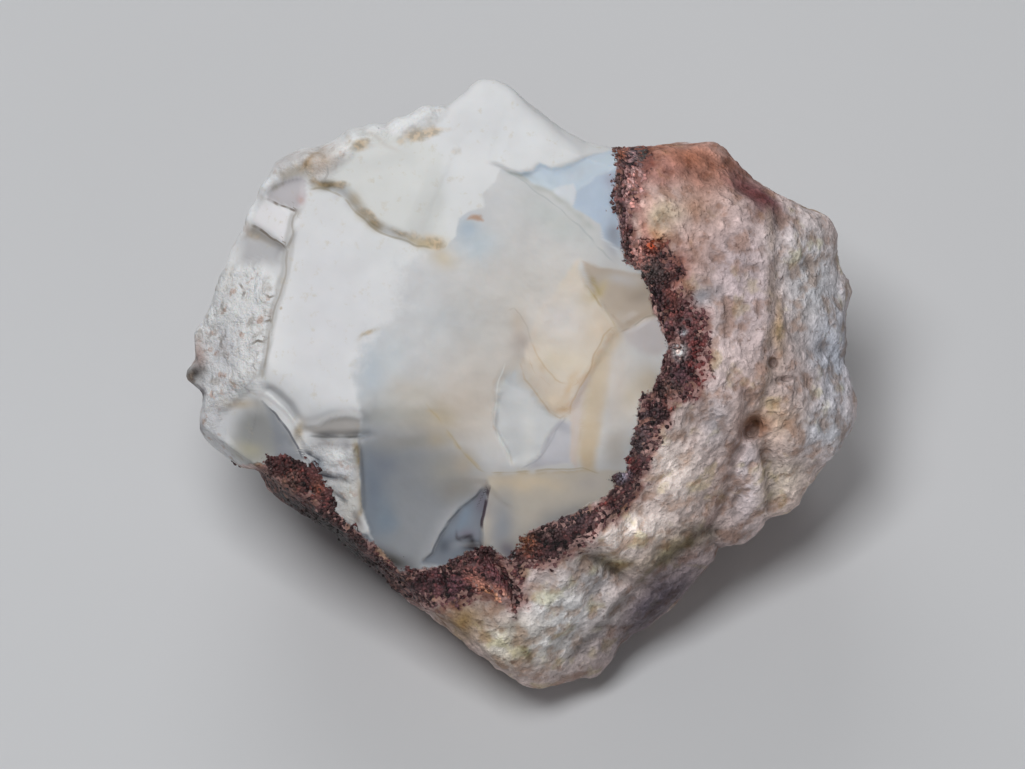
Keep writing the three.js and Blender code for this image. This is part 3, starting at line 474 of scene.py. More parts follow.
# Facets of the clear opal: outline, colour, share
CLEAR_FACETS = {
    "dish": (
        [(-12.5, -3.6), (-8.5, -3.6), (-6.2, -4.2), (-4.4, -5), (-3.3, -5.7), (-2.4, -6.8), (-2.9, -7.7),
         (-4.2, -8.5), (-5, -9.5), (-5.6, -11), (-6.9, -13.4), (-9.2, -13.4), (-12, -11)],
        1.3, "#8e9094", 0.95),
    "low_facet": (
        [(-2.3, -6.4), (0, -6.2), (4.5, -6), (7.4, -6), (5.9, -7.9), (3.1, -9.4), (0.5, -10.6),
         (-0.7, -12.4), (-3, -11.2), (-2.5, -8)],
        0.15, "#bbb3a8", 1),
    "lens_chip": (
        [(-3.1, -7.7), (-4.2, -8.5), (-5, -9.5), (-5.5, -10.3), (-5.7, -11), (-6, -11.5),
         (-6.9, -12.2), (-5.2, -12.4), (-3.7, -11.5), (-2.7, -11), (-2.7, -9.2), (-2.5, -8),
         (-2.3, -6.8)],
        0.18, "#7f848d", 0.95),
    "blue_right": (
        [(3.5, 12.5), (4.5, 13.2), (5.5, 13.8), (6.8, 14.4), (6.8, 12), (7.2, 8.4), (6, 8.8), (5.3, 9.4),
         (5.1, 10.4), (4.2, 10.9), (3.3, 11.5)],
        0.1, "#b1bdcb", 1),
    "light_band": (
        [(-1.4, 14.2), (0.7, 14.6), (1.9, 14.8), (4.3, 15.4), (6.9, 16), (6.8, 14.4), (5.5, 13.8),
         (4.5, 13.2), (3.5, 12.5), (1.9, 12.5), (0.7, 13.1), (-0.4, 13.7)],
        0.1, "#bdc8d2", 1),
    "white_triangle": ([(1.9, 12.5), (3.3, 13.1), (3.5, 12.5), (3.3, 11.5)], 0.08, "#cbced2", 1),
    "orange_chip": (
        [(-3.8, 10.7), (-3.4, 10.9), (-2.8, 10.9), (-2.6, 10.6), (-3, 10.5)], 0.1, "#ae8d75", 0.9),
    "honey_facet": (
        [(3.7, 8), (3.1, 7.3), (2.2, 6), (1.1, 4.7), (0.6, 3.6), (0.5, 2.8), (0.9, 1.9), (1.1, 1),
         (1.5, 0.2), (2.8, -0.2), (3.2, -1.3), (3.9, 0), (4.7, 1.1), (5, 1.9), (5.6, 2.8),
         (6.2, 3.6), (5.6, 4.5), (4.6, 5.9), (3.7, 7.3)],
        0.22, "#c5bbae", 1),
    "honey_piece": (
        [(0.5, 2.6), (-0.1, 1.4), (0, 0.6), (0.5, -0.4), (1.1, -1.3), (1.9, -2.1), (2.8, -2.5),
         (3.2, -1.3), (2.8, -0.2), (1.5, 0.2), (1.1, 1), (0.9, 1.9)],
        0.1, "#bfb4a8", 1),
    "pink_strip": (
        [(6.2, 3.6), (5.6, 2.8), (5, 1.9), (4.7, 1.1), (3.9, 0), (3.1, -1.5), (3, -2.5), (3.1, -5.3),
         (3.7, -6), (3.6, -4.9), (3.9, -3.3), (4.1, -1.3), (4.6, 0.8), (5.4, 2.2)],
        0.15, "#beb3ac", 1),
    "honey_strip": (
        [(6.2, 3.6), (5.4, 2.2), (4.6, 0.8), (4.1, -1.3), (3.9, -3.3), (3.6, -4.9), (4.1, -6),
         (4.8, -6), (5, -4), (5.4, -2), (5.7, 0), (6.1, 2), (6.7, 3.2)],
        0.35, "#bbab94", 1),
    "pink_white": (
        [(6.7, 3.2), (7.6, 3.6), (8.9, 4.4), (9.8, 3.3), (10, 2.2), (8.9, 1.6), (7.7, 1.9), (6.9, 2.4)],
        0.25, "#b6b0b0", 1),
    "right_top": (
        [(3.9, 7.9), (5.2, 7.4), (7.9, 7.1), (8.8, 6.2), (9.2, 4.9), (9, 4.3), (7.6, 3.6), (6.7, 3.2),
         (6.2, 3.6), (5.6, 4.5), (4.6, 5.9)],
        0.15, "#ada092", 1),
    "grey_lens": (
        [(-0.7, 0.6), (-1.2, 0.4), (-1.8, -1.5), (-1.9, -3.1), (-1.3, -4.4), (-0.7, -5.4), (-0.6, -6.2),
         (0.3, -6), (1.1, -5), (1.7, -3.7), (2.5, -2.7), (1.7, -2.1), (0.9, -1.3), (0.2, -0.3),
         (-0.3, 0.5)],
        0.1, "#b9babb", 1),
    "blue_triangle": (
        [(2.5, -2.6), (3.1, -2.8), (3.1, -5.4), (2.2, -5.6), (0.2, -6), (1.1, -5), (1.7, -3.7)],
        0.1, "#b3b2b7", 1),
}

# Soft shades over the facets, as the patches above; two of them are painted shade
CLEAR_SHADES = [
    (-10, -7.2, 0.9, 3.4, 0, "#7b838e", 1),
    (-9.1, -9.2, 0.8, 1.2, 0, "#7f8b97", 0.9),
    (-9.1, -5.7, 0.8, 0.9, 0, "#7c828c", 0.8),
    # Painted shade along the dish's top edge, under the sheet
    (-7.4, -4, 2.2, 0.6, 5, "#989693", 0.9),
    (-5.7, -4, 0.8, 0.6, -30, "#a89f90", 0.9),
    (-5.4, -5.9, 1.2, 1, 0, "#a09d97", 0.9),
    (-4, -5.6, 0.8, 0.8, -30, "#b0a79b", 0.9),
    (-4.4, -7.4, 1.2, 0.8, 0, "#8f8b86", 0.9),
    # Painted shadow in the low corner of the dish
    (-8.9, -11.9, 1.5, 0.5, -28, "#45423f", 1),
    (0, -6.8, 2.8, 0.6, 0, "#c8baa5", 1),
    (2, -9.3, 2.4, 0.7, 25, "#9a9795", 1),
    (-1.5, -9.8, 0.9, 2.2, 0, "#93959a", 1),
    (-0.9, -11.5, 0.7, 0.8, 0, "#706c73", 1),
    (4.6, -6.9, 1.3, 0.7, 0, "#b3aca6", 0.9),
    (-2.7, -8.2, 0.45, 0.8, 0, "#7a7680", 1),
    (-4, -9.2, 0.45, 1.1, -40, "#8491a0", 0.8),
    (-5.2, -11, 0.5, 0.7, -40, "#5f646d", 1),
    (-3.7, -10.1, 0.6, 0.3, 0, "#7f7b87", 0.8),
    (-4.7, -11.5, 0.9, 0.3, 20, "#7c828b", 0.9),
    (-3.3, -11, 0.6, 0.4, 10, "#332d33", 1),
    (6, 9.5, 0.55, 1.1, 10, "#8f949f", 1),
    (5.9, 13.2, 0.5, 0.7, 0, "#9ea2b0", 0.9),
    (0.4, 13.5, 1.3, 0.3, -12, "#a5b1b9", 0.9),
    (3.8, 13.8, 1.1, 0.4, 20, "#bdc5cd", 0.9),
    (2.4, 4.2, 1.8, 1.5, 0, "#c5c0bd", 1),
    (5.1, 3.5, 0.8, 1.1, -30, "#c7b9a8", 1),
    (2.6, 1.2, 1.5, 0.8, -10, "#c9beac", 1),
    (2.1, -1.3, 0.7, 0.8, 20, "#c4b5a1", 1),
    (2.6, -2, 0.5, 0.2, 10, "#b59c7e", 1),
    (3.2, -0.4, 0.3, 1, -25, "#c3ab8a", 0.8),
    (6.4, -0.6, 0.9, 3.4, -4, "#bab2ab", 1),
    (6.1, -4.3, 0.8, 1.6, 0, "#ada8a3", 1),
    (8.2, 0, 0.9, 1.2, -20, "#ae9f8b", 0.8),
    (7.3, -1.2, 0.7, 1, -10, "#b3a898", 0.9),
    (6.5, 6.7, 1.6, 0.45, -5, "#b6b1ae", 1),
    (5, 5.9, 0.45, 1, -38, "#b6a684", 0.9),
    (7.9, 5.5, 0.9, 0.6, -10, "#998c80", 1),
    (7.4, 3.9, 0.9, 0.3, 30, "#a69685", 0.9),
    (0.2, -3.4, 0.5, 2.2, 0, "#c3c3c1", 0.8),
]

# Fine coloured lines on the opal: points, half width, colour, share
CLEAR_LINES = {
    # Darker band along the fold: painted shade
    "fold": (
        [(-1.4, 13.9), (-0.4, 13.6), (0.7, 13), (1.9, 12.4), (3.3, 11.3), (4.1, 10.5), (5, 9.7)],
        0.2, "#a9aca8", 0.8),
    "honey_edge": (
        [(6.2, 3.5), (5.6, 2.7), (5, 1.8), (4.6, 1), (3.8, 0), (3.1, -1.6), (2.8, -2.5)],
        0.12, "#c3a888", 0.6),
    "honey_low_edge": (
        [(0.5, 2.6), (0.9, 1.9), (1.1, 1), (1.6, 0.2), (2.8, -0.2)], 0.1, "#c1ae94", 0.6),
    "honey_piece_edge": (
        [(-0.1, 1.4), (0, 0.6), (0.5, -0.4), (1.1, -1.3), (1.9, -2.1)], 0.08, "#c6bdb2", 0.6),
    "star_left": ([(4.6, 5.9), (5.6, 4.6), (6.2, 3.6)], 0.13, "#c9bfae", 0.7),
    "star_right": ([(6.3, 3.6), (7.1, 4.2), (8.6, 5.1)], 0.25, "#bbb1a9", 0.9),
    "star_low": ([(6.6, 3.2), (7.4, 3.6), (8.7, 4.2)], 0.1, "#c3bbb5", 0.8),
    "strip_left": ([(5.3, 2.1), (4.6, 0.8), (4.1, -1.3), (3.9, -3.3), (3.6, -4.9)], 0.1, "#b39e7f", 0.4),
    "ridge": ([(-2.3, -6.3), (-1, -6.2), (1.1, -6.15), (3, -6.1), (5.2, -5.9)], 0.1, "#b3a284", 0.6),
    "thread": ([(-6.5, -1.5), (-5.6, -2.6), (-4.7, -4), (-3.5, -5.2), (-2.5, -6.2)], 0.12, "#b1a07c", 0.6),
    "lens_rim": ([(-1.1, 0.4), (-1.7, -1.4), (-1.8, -3.2), (-1.1, -4.6)], 0.2, "#cfd0cd", 0.8),
    "lens_end": ([(-0.5, -5.8), (0.5, -5.5), (1.1, -4.9), (1.6, -4)], 0.08, "#cbcaca", 0.7),
    "lens_low_rim": ([(-1.3, -4.4), (-0.7, -5.4), (-0.5, -6)], 0.08, "#cfcac2", 0.8),
    "hollow_edge": ([(5.1, 10.4), (5.3, 9.4), (6.7, 8)], 0.1, "#c3c7cc", 0.8),
    "blue_edge": ([(3.4, 12.5), (4.5, 13.2), (5.5, 13.8), (6.4, 14.3)], 0.08, "#c6cfd8", 0.7),
    "dendrite_a": ([(-4.5, -10.1), (-4.3, -10.5), (-3.6, -10.4), (-2.9, -10.3)], 0.14, "#2b2328", 0.9),
    "dendrite_b": ([(-3.6, -10.4), (-3.1, -10.8), (-3.1, -11.6)], 0.22, "#241d23", 0.9),
    "dendrite_c": ([(-4.4, -9.8), (-4.4, -10.5), (-3.9, -10.8)], 0.09, "#3a3036", 0.8),
    "olive_edge": ([(4.4, 7.1), (4.7, 6.5), (5, 5.9), (5.3, 5.4)], 0.13, "#a08e62", 0.7),
}
WHITE_LINES = {
    "chip_top": ([(-16.8, 12.5), (-16.3, 12.9), (-15.7, 13.2)], 0.14, "#8b8474", 0.8),
    "plate_sliver": ([(-13, 12.3), (-12.2, 12.1), (-11.6, 11.6), (-11, 10.9)], 0.2, "#bab8be", 0.8),
    # Tan and dark lines under the plate's edge: partly brown stain, partly painted shade on its wall
    "plate_wall": (
        [(-11.7, 12.7), (-11.3, 12.1), (-10.8, 11.3), (-10.1, 10.5), (-9.4, 10.1), (-8.8, 9.85)],
        0.38, "#b8ac98", 0.85),
    "plate_wall_left": (
        [(-14.3, 12.75), (-13.5, 12.9), (-12.7, 13), (-11.7, 12.7)], 0.24, "#b3a68e", 0.85),
    "plate_wall_right": (
        [(-8.9, 9.9), (-8.2, 9.6), (-7.3, 9.2), (-6.4, 8.9), (-5.6, 8.7)], 0.22, "#b6a685", 0.8),
    "plate_dark": ([(-13.6, 13), (-12.9, 12.95), (-12.3, 12.9)], 0.22, "#6d6350", 1),
    "plate_dark_low": ([(-10.3, 10.7), (-9.7, 10.3), (-9.2, 10.1)], 0.2, "#80704f", 0.8),
    "sheet_shadow": ([(-14.2, -3.6), (-13, -3.7), (-11.8, -3.7), (-10.2, -3.6)], 0.22, "#626161", 0.85),
    # Dark lines in the grooves between terraces: painted shade
    "groove_high": ([(-14.7, -4.4), (-13.9, -5), (-13.1, -5.5)], 0.16, "#6d7078", 0.8),
    "groove_middle": ([(-13.9, -6.1), (-12.9, -6.4), (-12.2, -6.5), (-11.4, -6.9)], 0.18, "#5f6168", 0.8),
    "groove_low": ([(-12.8, -7.4), (-12.2, -7.7), (-11.6, -8.3)], 0.15, "#83868d", 0.7),
    "curl": ([(-11.2, 2.4), (-10.7, 3), (-10.2, 3.2), (-9.2, 3.5), (-8.2, 3.7)], 0.14, "#ad9f88", 0.7),
    "knob_curve": (
        [(-14.7, 13.5), (-14.5, 14.1), (-14.1, 14.8), (-13.4, 15.3), (-12.7, 15.4)], 0.15, "#9c8468", 0.8),
    "knob_foot": ([(-14.7, 13.5), (-14.1, 13.2), (-13.4, 13.1)], 0.16, "#8c775c", 0.8),
    # Lines between the scallops: partly tan stain, partly painted shade in the creases
    "scallop_a": ([(-14, 15.5), (-13.4, 14.9), (-12.9, 14.3)], 0.16, "#ab9883", 0.7),
    "scallop_b": ([(-11.8, 16.7), (-11.5, 15.8), (-11.3, 15)], 0.16, "#b9b1a4", 0.6),
    "scallop_c": ([(-10.9, 16.7), (-10, 16.2), (-9, 15.5), (-7.9, 15.1)], 0.15, "#bfbbb6", 0.7),
    "scallop_d": ([(-17.8, 12.4), (-17.2, 11.9), (-16.9, 11.2)], 0.14, "#a9a49c", 0.5),
    "scallop_e": ([(-18.8, 10.9), (-18, 10.3), (-17.6, 9.9)], 0.16, "#a09a90", 0.6),
}

# Thin lines, sharp at any distance: points, half width, colour, strength
THIN_LINES = {
    "sheet_left": (
        [(-14.9, 11.4), (-15.25, 10.9), (-15.3, 9.7), (-15.6, 8.9), (-15.8, 6.8),
         (-16.1, 5.7), (-16.6, 4.4), (-16.8, 3.5), (-17, 2), (-17.3, 0)], 0.06, "#8b8177", 0.5),
    "chip_line": ([(-17.3, 12.1), (-16.2, 11.6), (-14.9, 11.1)], 0.07, "#7d736d", 0.95),
    "chip_ledge": ([(-18.1, 10.35), (-17, 9.75), (-16.4, 9.25), (-15.6, 8.7)], 0.07, "#7d7268", 0.9),
    # Dark line at the foot of the plate's wall: painted shade
    "plate_foot": (
        [(-14.2, 12.6), (-13.6, 12.7), (-13, 12.7), (-12.3, 12.3), (-11.6, 11.8), (-10.8, 11),
         (-10.1, 10.2), (-9.4, 9.8), (-8.2, 9.4), (-7.1, 8.95), (-6, 8.7)], 0.06, "#8f8269", 0.5),
    # Dark line under the sheet's undercut: painted shadow
    "sheet_foot": ([(-14.3, -3.7), (-13, -3.8), (-11.8, -3.8), (-10.6, -3.7)], 0.07, "#4f4e4e", 0.45),
    "lobe_border": (
        [(-17.4, -1.2), (-16.4, -2.3), (-15.6, -3.4), (-15, -4.4), (-14.6, -5.3)],
        0.07, "#666870", 0.9),
    # Dark lines in the grooves between terraces: painted shade
    "groove_high": ([(-14.6, -4.6), (-13.9, -5.05), (-13.3, -5.45)], 0.06, "#50545c", 0.8),
    "groove_middle": (
        [(-13.7, -6.25), (-12.9, -6.45), (-12.2, -6.55), (-11.6, -6.85)], 0.06, "#484a52", 0.8),
    "bevel_arc": ([(-17.4, 3.7), (-16.8, 3.9), (-16.6, 3.3)], 0.07, "#7d756c", 0.9),
    "bevel_arc_low": ([(-18.2, 2.3), (-17.6, 2.6), (-17, 2.4)], 0.07, "#7d756c", 0.9),
    "bevel_arc_high": ([(-18.9, 6.6), (-18.5, 5.9), (-18.7, 5.3)], 0.08, "#8c8580", 0.9),
    "bevel_arc_middle": ([(-17.3, 5.8), (-16.9, 5.5), (-16.4, 5.7)], 0.06, "#7d756c", 0.8),
    "purple_line": ([(-2.2, -6.8), (-2.5, -8), (-2.7, -9.2), (-2.7, -10)], 0.09, "#3c2a35", 0.9),
    "chip_edge": (
        [(-2.6, -7), (-3.1, -7.7), (-4.2, -8.5), (-5, -9.5), (-5.5, -10.3), (-6, -11.5), (-6.8, -12.2)],
        0.06, "#5f646c", 0.7),
    "clear_ridge": (
        [(-2.2, -6.13), (-0.2, -6.07), (2.47, -5.93), (4, -5.8), (5.13, -6.2)],
        0.05, "#a2916f", 0.45),
    "clear_thread": (
        [(-6.53, -1.47), (-5.07, -3.33), (-4.07, -4.67), (-3, -5.87), (-2.33, -6.2)],
        0.05, "#a3957a", 0.4),
    "clear_lens_left": (
        [(-1.13, 1.33), (-1.67, -0.33), (-1.87, -2), (-1.93, -3.07), (-1.47, -4),
         (-0.93, -4.87), (-0.73, -5.8)],
        0.05, "#d2d3d1", 0.5),
    "clear_lens_foot": (
        [(2.93, -2.33), (2.2, -3.4), (1.53, -4.73), (0.87, -5.47), (-0.07, -5.87)],
        0.05, "#9a9ba1", 0.45),
    "clear_honey_top": (
        [(-1.13, 4.53), (-0.67, 4.73), (-0.13, 4.33), (0.33, 3.47), (0.53, 2.47)],
        0.05, "#a3998d", 0.45),
    "clear_honey_low": (
        [(0.53, 2.47), (1, 1.47), (1.53, 0.6), (2.2, 0.07), (2.93, -0.27)],
        0.05, "#b49c7a", 0.45),
    "clear_piece_low": (
        [(-0.27, 1.2), (0.07, 0.27), (0.6, -0.53), (1.2, -1.33), (1.8, -2.07), (2.47, -2.47),
         (2.93, -2.2)],
        0.05, "#b09c80", 0.45),
    "clear_honey_right": (
        [(6.07, 3.6), (5.33, 2.93), (4.93, 2.2), (4.6, 1.33), (4.27, 0.53), (3.67, -0.6),
         (3.27, -1.53), (3, -2.4)],
        0.05, "#b39a78", 0.5),
    "clear_star_up": (
        [(4.13, 6.33), (5, 5.2), (5.8, 4.13), (6.27, 3.33)],
        0.05, "#a8976f", 0.45),
    "clear_star_right": (
        [(6.33, 3.2), (7.2, 3.47), (8.13, 4.07), (8.93, 4.47)],
        0.05, "#8f8375", 0.5),
    # Dark line along the fold: painted shade
    "clear_fold": (
        [(-1.2, 13.87), (-0.4, 13.47), (0.53, 12.8), (1.67, 11.93), (2.67, 11.13),
         (3.67, 10.27), (4.6, 9.27), (5.47, 8.33), (6.2, 7.73)],
        0.05, "#a1a6a6", 0.5),
    "knob_edge": ([(-13, 14.4), (-13, 13.7), (-13.3, 13)], 0.06, "#a9a6a3", 0.6),
}
THIN_LINE_REACH = 0.5

# Stains on the white opal: x, y, half length, half width, turn in degrees, strength
STAINS = [
    (-14.2, 14.1, 0.8, 1, 30, 0.45),
    (-15.4, 14.1, 0.8, 0.4, 10, 0.5),
    (-11.3, 15.6, 0.9, 0.4, 10, 0.55),
    (-6.2, 16.4, 1.5, 0.5, 15, 0.6),
    (-7.6, 16.2, 1.4, 0.8, 25, 0.5),
    (-10.6, 15.5, 1, 0.7, 20, 0.55),
    (-4.7, 15.3, 0.8, 0.6, 0, 0.45),
    (-5.5, 8.7, 1.3, 0.9, -20, 0.65),
    (-12.7, 13.1, 1.4, 0.25, -5, 0.8),
    (-10.4, 11, 1.3, 0.3, -50, 0.7),
    (-8, 9.8, 1.8, 0.35, -20, 0.7),
    (-16, 4.8, 0.2, 0.2, 0, 1),
    (-17.9, 9.7, 0.7, 0.35, -20, 0.6),
    (-19.6, 7, 0.6, 1.6, -20, 0.45),
    (-20.5, -1, 0.5, 1.6, 10, 0.3),
    (-14.9, 12.1, 0.2, 0.2, 0, 0.6),
    (-14.6, -3.5, 0.4, 0.7, 0, 0.6),
    (-10.9, -5.5, 0.25, 1.2, 0, 0.7),
    (-10.9, -8.6, 0.3, 0.9, 0, 0.6),
    (-10.3, 3, 0.8, 0.2, 25, 0.6),
]

# Host rock
ROCK_COLOUR = "#9f8f8b"
ROCK_PATCHES = [
    (11.3, 14.4, 5, 1.7, -8, "#86543f", 1),
    (10.8, 13.4, 2.4, 0.6, -15, "#7d5244", 0.7),
    (9.2, 13.6, 1.6, 1, 0, "#936860", 0.8),
    (12.1, 12, 1.3, 1, -30, "#84604f", 0.8),
    (8.8, 11.9, 1.2, 1.2, 0, "#ab938c", 0.8),
    (13, 10, 2.6, 2.4, -30, "#a28a83", 0.8),
    (11.6, 11.2, 1.2, 0.8, 0, "#86644c", 0.7),
    (11.5, 8.2, 2, 1.7, 20, "#9b8078", 0.8),
    (14.6, 6, 2.2, 5, 0, "#a6989b", 0.9),
    (19.3, 6.5, 2, 4.5, 10, "#b6b5b8", 1),
    (20.8, 1.5, 1.6, 4, 0, "#9fa2ab", 1),
    (9.3, 10.9, 1.1, 0.7, 0, "#ada07f", 0.5),
    (8.7, 9.8, 1, 0.5, 0, "#b08a5c", 0.7),
    (8.1, 9.6, 0.5, 2.4, 0, "#b08379", 0.9),
    (10.4, 7.6, 0.7, 1.3, 0, "#957069", 0.9),
    (12, 5.4, 1.1, 0.5, 20, "#74747a", 0.9),
    (16.9, 3.4, 0.5, 2.2, 0, "#927a61", 0.9),
    (13.2, 1, 1.6, 3.4, -5, "#b9a8a6", 0.9),
    (13.6, -5, 0.8, 4.5, -15, "#9f8c87", 0.9),
    (16.9, -2.6, 1.6, 1.4, 0, "#b89f8b", 0.9),
    (15.4, -3.1, 0.75, 0.95, -20, "#7a4c1c", 1),
    (15.1, -6.6, 1, 3, 0, "#b1a7aa", 0.9),
    (17.5, -6.9, 1.6, 1.6, 0, "#b3a69a", 0.9),
    (20.5, -3.5, 1.8, 2, 20, "#acadb3", 0.9),
    (10, -6, 1.9, 2.4, 0, "#d9cbc4", 1),
    (12.6, -2.8, 1, 1.6, 0, "#a09a9d", 0.8),
    (7, -10.2, 2.8, 1.3, 8, "#d9cdc6", 1),
    (10.2, -11, 2, 0.8, 25, "#76694f", 0.9),
    (5.6, -12.4, 2, 0.7, -10, "#6b5f52", 0.9),
    (2.5, -15.8, 3.4, 2.6, 20, "#bab8b8", 1),
    (-0.7, -17.7, 1.7, 1.7, 0, "#a69c8a", 0.9),
    (-3.8, -16, 1.5, 1.4, 0, "#7b6444", 1),
    # Dark lower-right side: painted shade
    (9, -14.9, 5.5, 1.7, 46, "#484149", 1),
    (6.5, -12, 1.1, 0.45, -10, "#8a7f58", 0.8),
    (9.2, -11.9, 1.2, 0.4, 38, "#6e664e", 0.8),
    (4.7, -13.2, 1.2, 0.9, 0, "#8f8f92", 0.7),
    (2, -14.6, 1.2, 0.9, 0, "#b3b1b0", 0.8),
    (1.7, -17.6, 1.1, 1.1, 0, "#b5b3b1", 0.8),
    (-1.2, -17.3, 0.8, 0.9, 0, "#b8b3ab", 0.8),
    # Near-black strip under the lower-left edge: painted shadow
    (-12.5, -11.5, 6, 1.5, -42, "#2c2422", 1),
    (11.8, -10, 0.9, 0.5, 0, "#575048", 0.9),
    (15.8, 12.1, 2.4, 0.85, -46, "#52242a", 0.95),
    (14.9, 12.6, 1.3, 0.6, -46, "#56292a", 0.8),
]

# Soft dark lines along the creases of the rock, painted shade tinted olive and brown: points, half width,
# colour, share
ROCK_LINES = {
    "low_valley": ([(4, -11.7), (5.3, -12.1), (6.3, -12.9), (7, -13.9)], 0.3, "#4f4a40", 0.75),
    "olive_valley": (
        [(11.9, -10.2), (10.7, -11.1), (9.5, -12), (8.2, -13), (7.2, -13.9)], 0.3, "#554b3c", 0.75),
    "side_edge": (
        [(7.2, -13.9), (6.1, -15.3), (5, -16.5), (3.8, -17.8), (2.5, -19)], 0.3, "#54504e", 0.6),
    "foot_crease": ([(-0.3, -17.3), (0.3, -18.3), (0.9, -19.5)], 0.25, "#5e5538", 0.7),
    "step": (
        [(14.6, 0.2), (14.4, -3.2), (13.7, -6), (12.9, -8.6), (11.9, -10.3)], 0.3, "#6b5550", 0.6),
    "valley": ([(16.4, 12), (16.6, 8), (16.3, 3.4), (16.5, 0.7), (15.7, -1.6)], 0.3, "#7a6a5e", 0.6),
    "block": ([(14.9, -4), (16.1, -5.2), (16.3, -8), (16, -9.3)], 0.22, "#6f6157", 0.6),
    "far_crease": ([(18.7, 8.6), (18.4, 6.7), (19, 4.9), (18.1, 3), (18.6, 0.9)], 0.25, "#807b7b", 0.6),
    "pink_crease": ([(11, 12.3), (11.6, 10.6), (11.1, 9.1), (11.9, 7.4)], 0.25, "#8a6a5c", 0.6),
    "low_crease": ([(10.6, 2.9), (11.8, 1), (12, -1.2), (11.3, -3.6), (11.1, -5.3)], 0.22, "#86706a", 0.5),
}

# Red-brown granular course: outlines on the face, and its patches of colour
RIM_EDGES = {
    "course": [
        (6.1, 15.9), (8.2, 15.9), (8.2, 14.5), (7.9, 13.9), (7.8, 13.1), (7.5, 12.2), (7.1, 11.1),
        (7.1, 9.9), (7.3, 8.8), (8.2, 9.2), (9.3, 9), (10.2, 7.3), (10.2, 6), (10.7, 5.6),
        (11.9, 4.3), (12.1, 3.3), (12.1, 0.3), (11.4, -0.9), (9.9, -1.5), (9.5, -2.9),
        (8.7, -3.6), (8.2, -5.5), (7.5, -7.6),
        (6.7, -8.6), (5.4, -9.4), (4.3, -10.5), (3.2, -11.3), (1.6, -12.2), (0, -12.4), (-0.3, -14),
        (-0.2, -15.1), (-0.9, -12.4), (-0.6, -11.8), (-0.3, -10.8), (0.3, -10.3), (1.6, -9.7),
        (3.7, -8.8), (5.1, -8.3), (6.2, -7.4), (6, -6.4), (6.9, -6.1), (6.8, -5.2), (7.3, -4.9),
        (7.3, -3.6), (7.9, -2.9), (7.7, -1.7), (7.9, -0.9), (8.7, -1.2), (8.9, -0.3), (9.3, 0.7),
        (9.8, 2.4), (9.2, 4.1), (8.8, 4.8), (8.6, 5.7), (8, 6.6), (7.9, 7.3), (6.7, 7.8), (6.7, 9.9),
        (6.4, 10.2), (6.4, 10.9), (5.9, 11.4), (5.8, 11.9), (6.1, 12.9), (6.2, 14.3),
    ],
    "left_patch": [
        (-17.3, -5.3), (-16.9, -5.1), (-14.5, -5.2), (-14, -5.7), (-13.5, -6.3), (-12.8, -7.3),
        (-12.4, -8.1), (-12.8, -8.5), (-13.7, -8.4), (-14.3, -7.6), (-15.1, -7.4), (-15.9, -7.1),
        (-17.2, -6.2),
    ],
    "low_course": [
        (-9.4, -12), (-8.2, -12.7), (-5.5, -12.6), (-4.2, -11.8), (-3.6, -11.4), (-2.2, -11.1), (-1.5, -12),
        (-0.6, -13.7), (-0.2, -15), (-1.2, -14.7), (-2.9, -14.1), (-3.9, -14.7), (-6.2, -14.9),
        (-7.9, -14.5),
    ],
    "under_skin": [
        (-17.6, -6.2), (-15.9, -7.3), (-14.2, -7.9), (-12.6, -8.8), (-11, -10.3), (-9.2, -12),
        (-8, -14.6), (-11.5, -13), (-16, -9),
    ],
}
RIM_COLOUR = "#5e3f40"
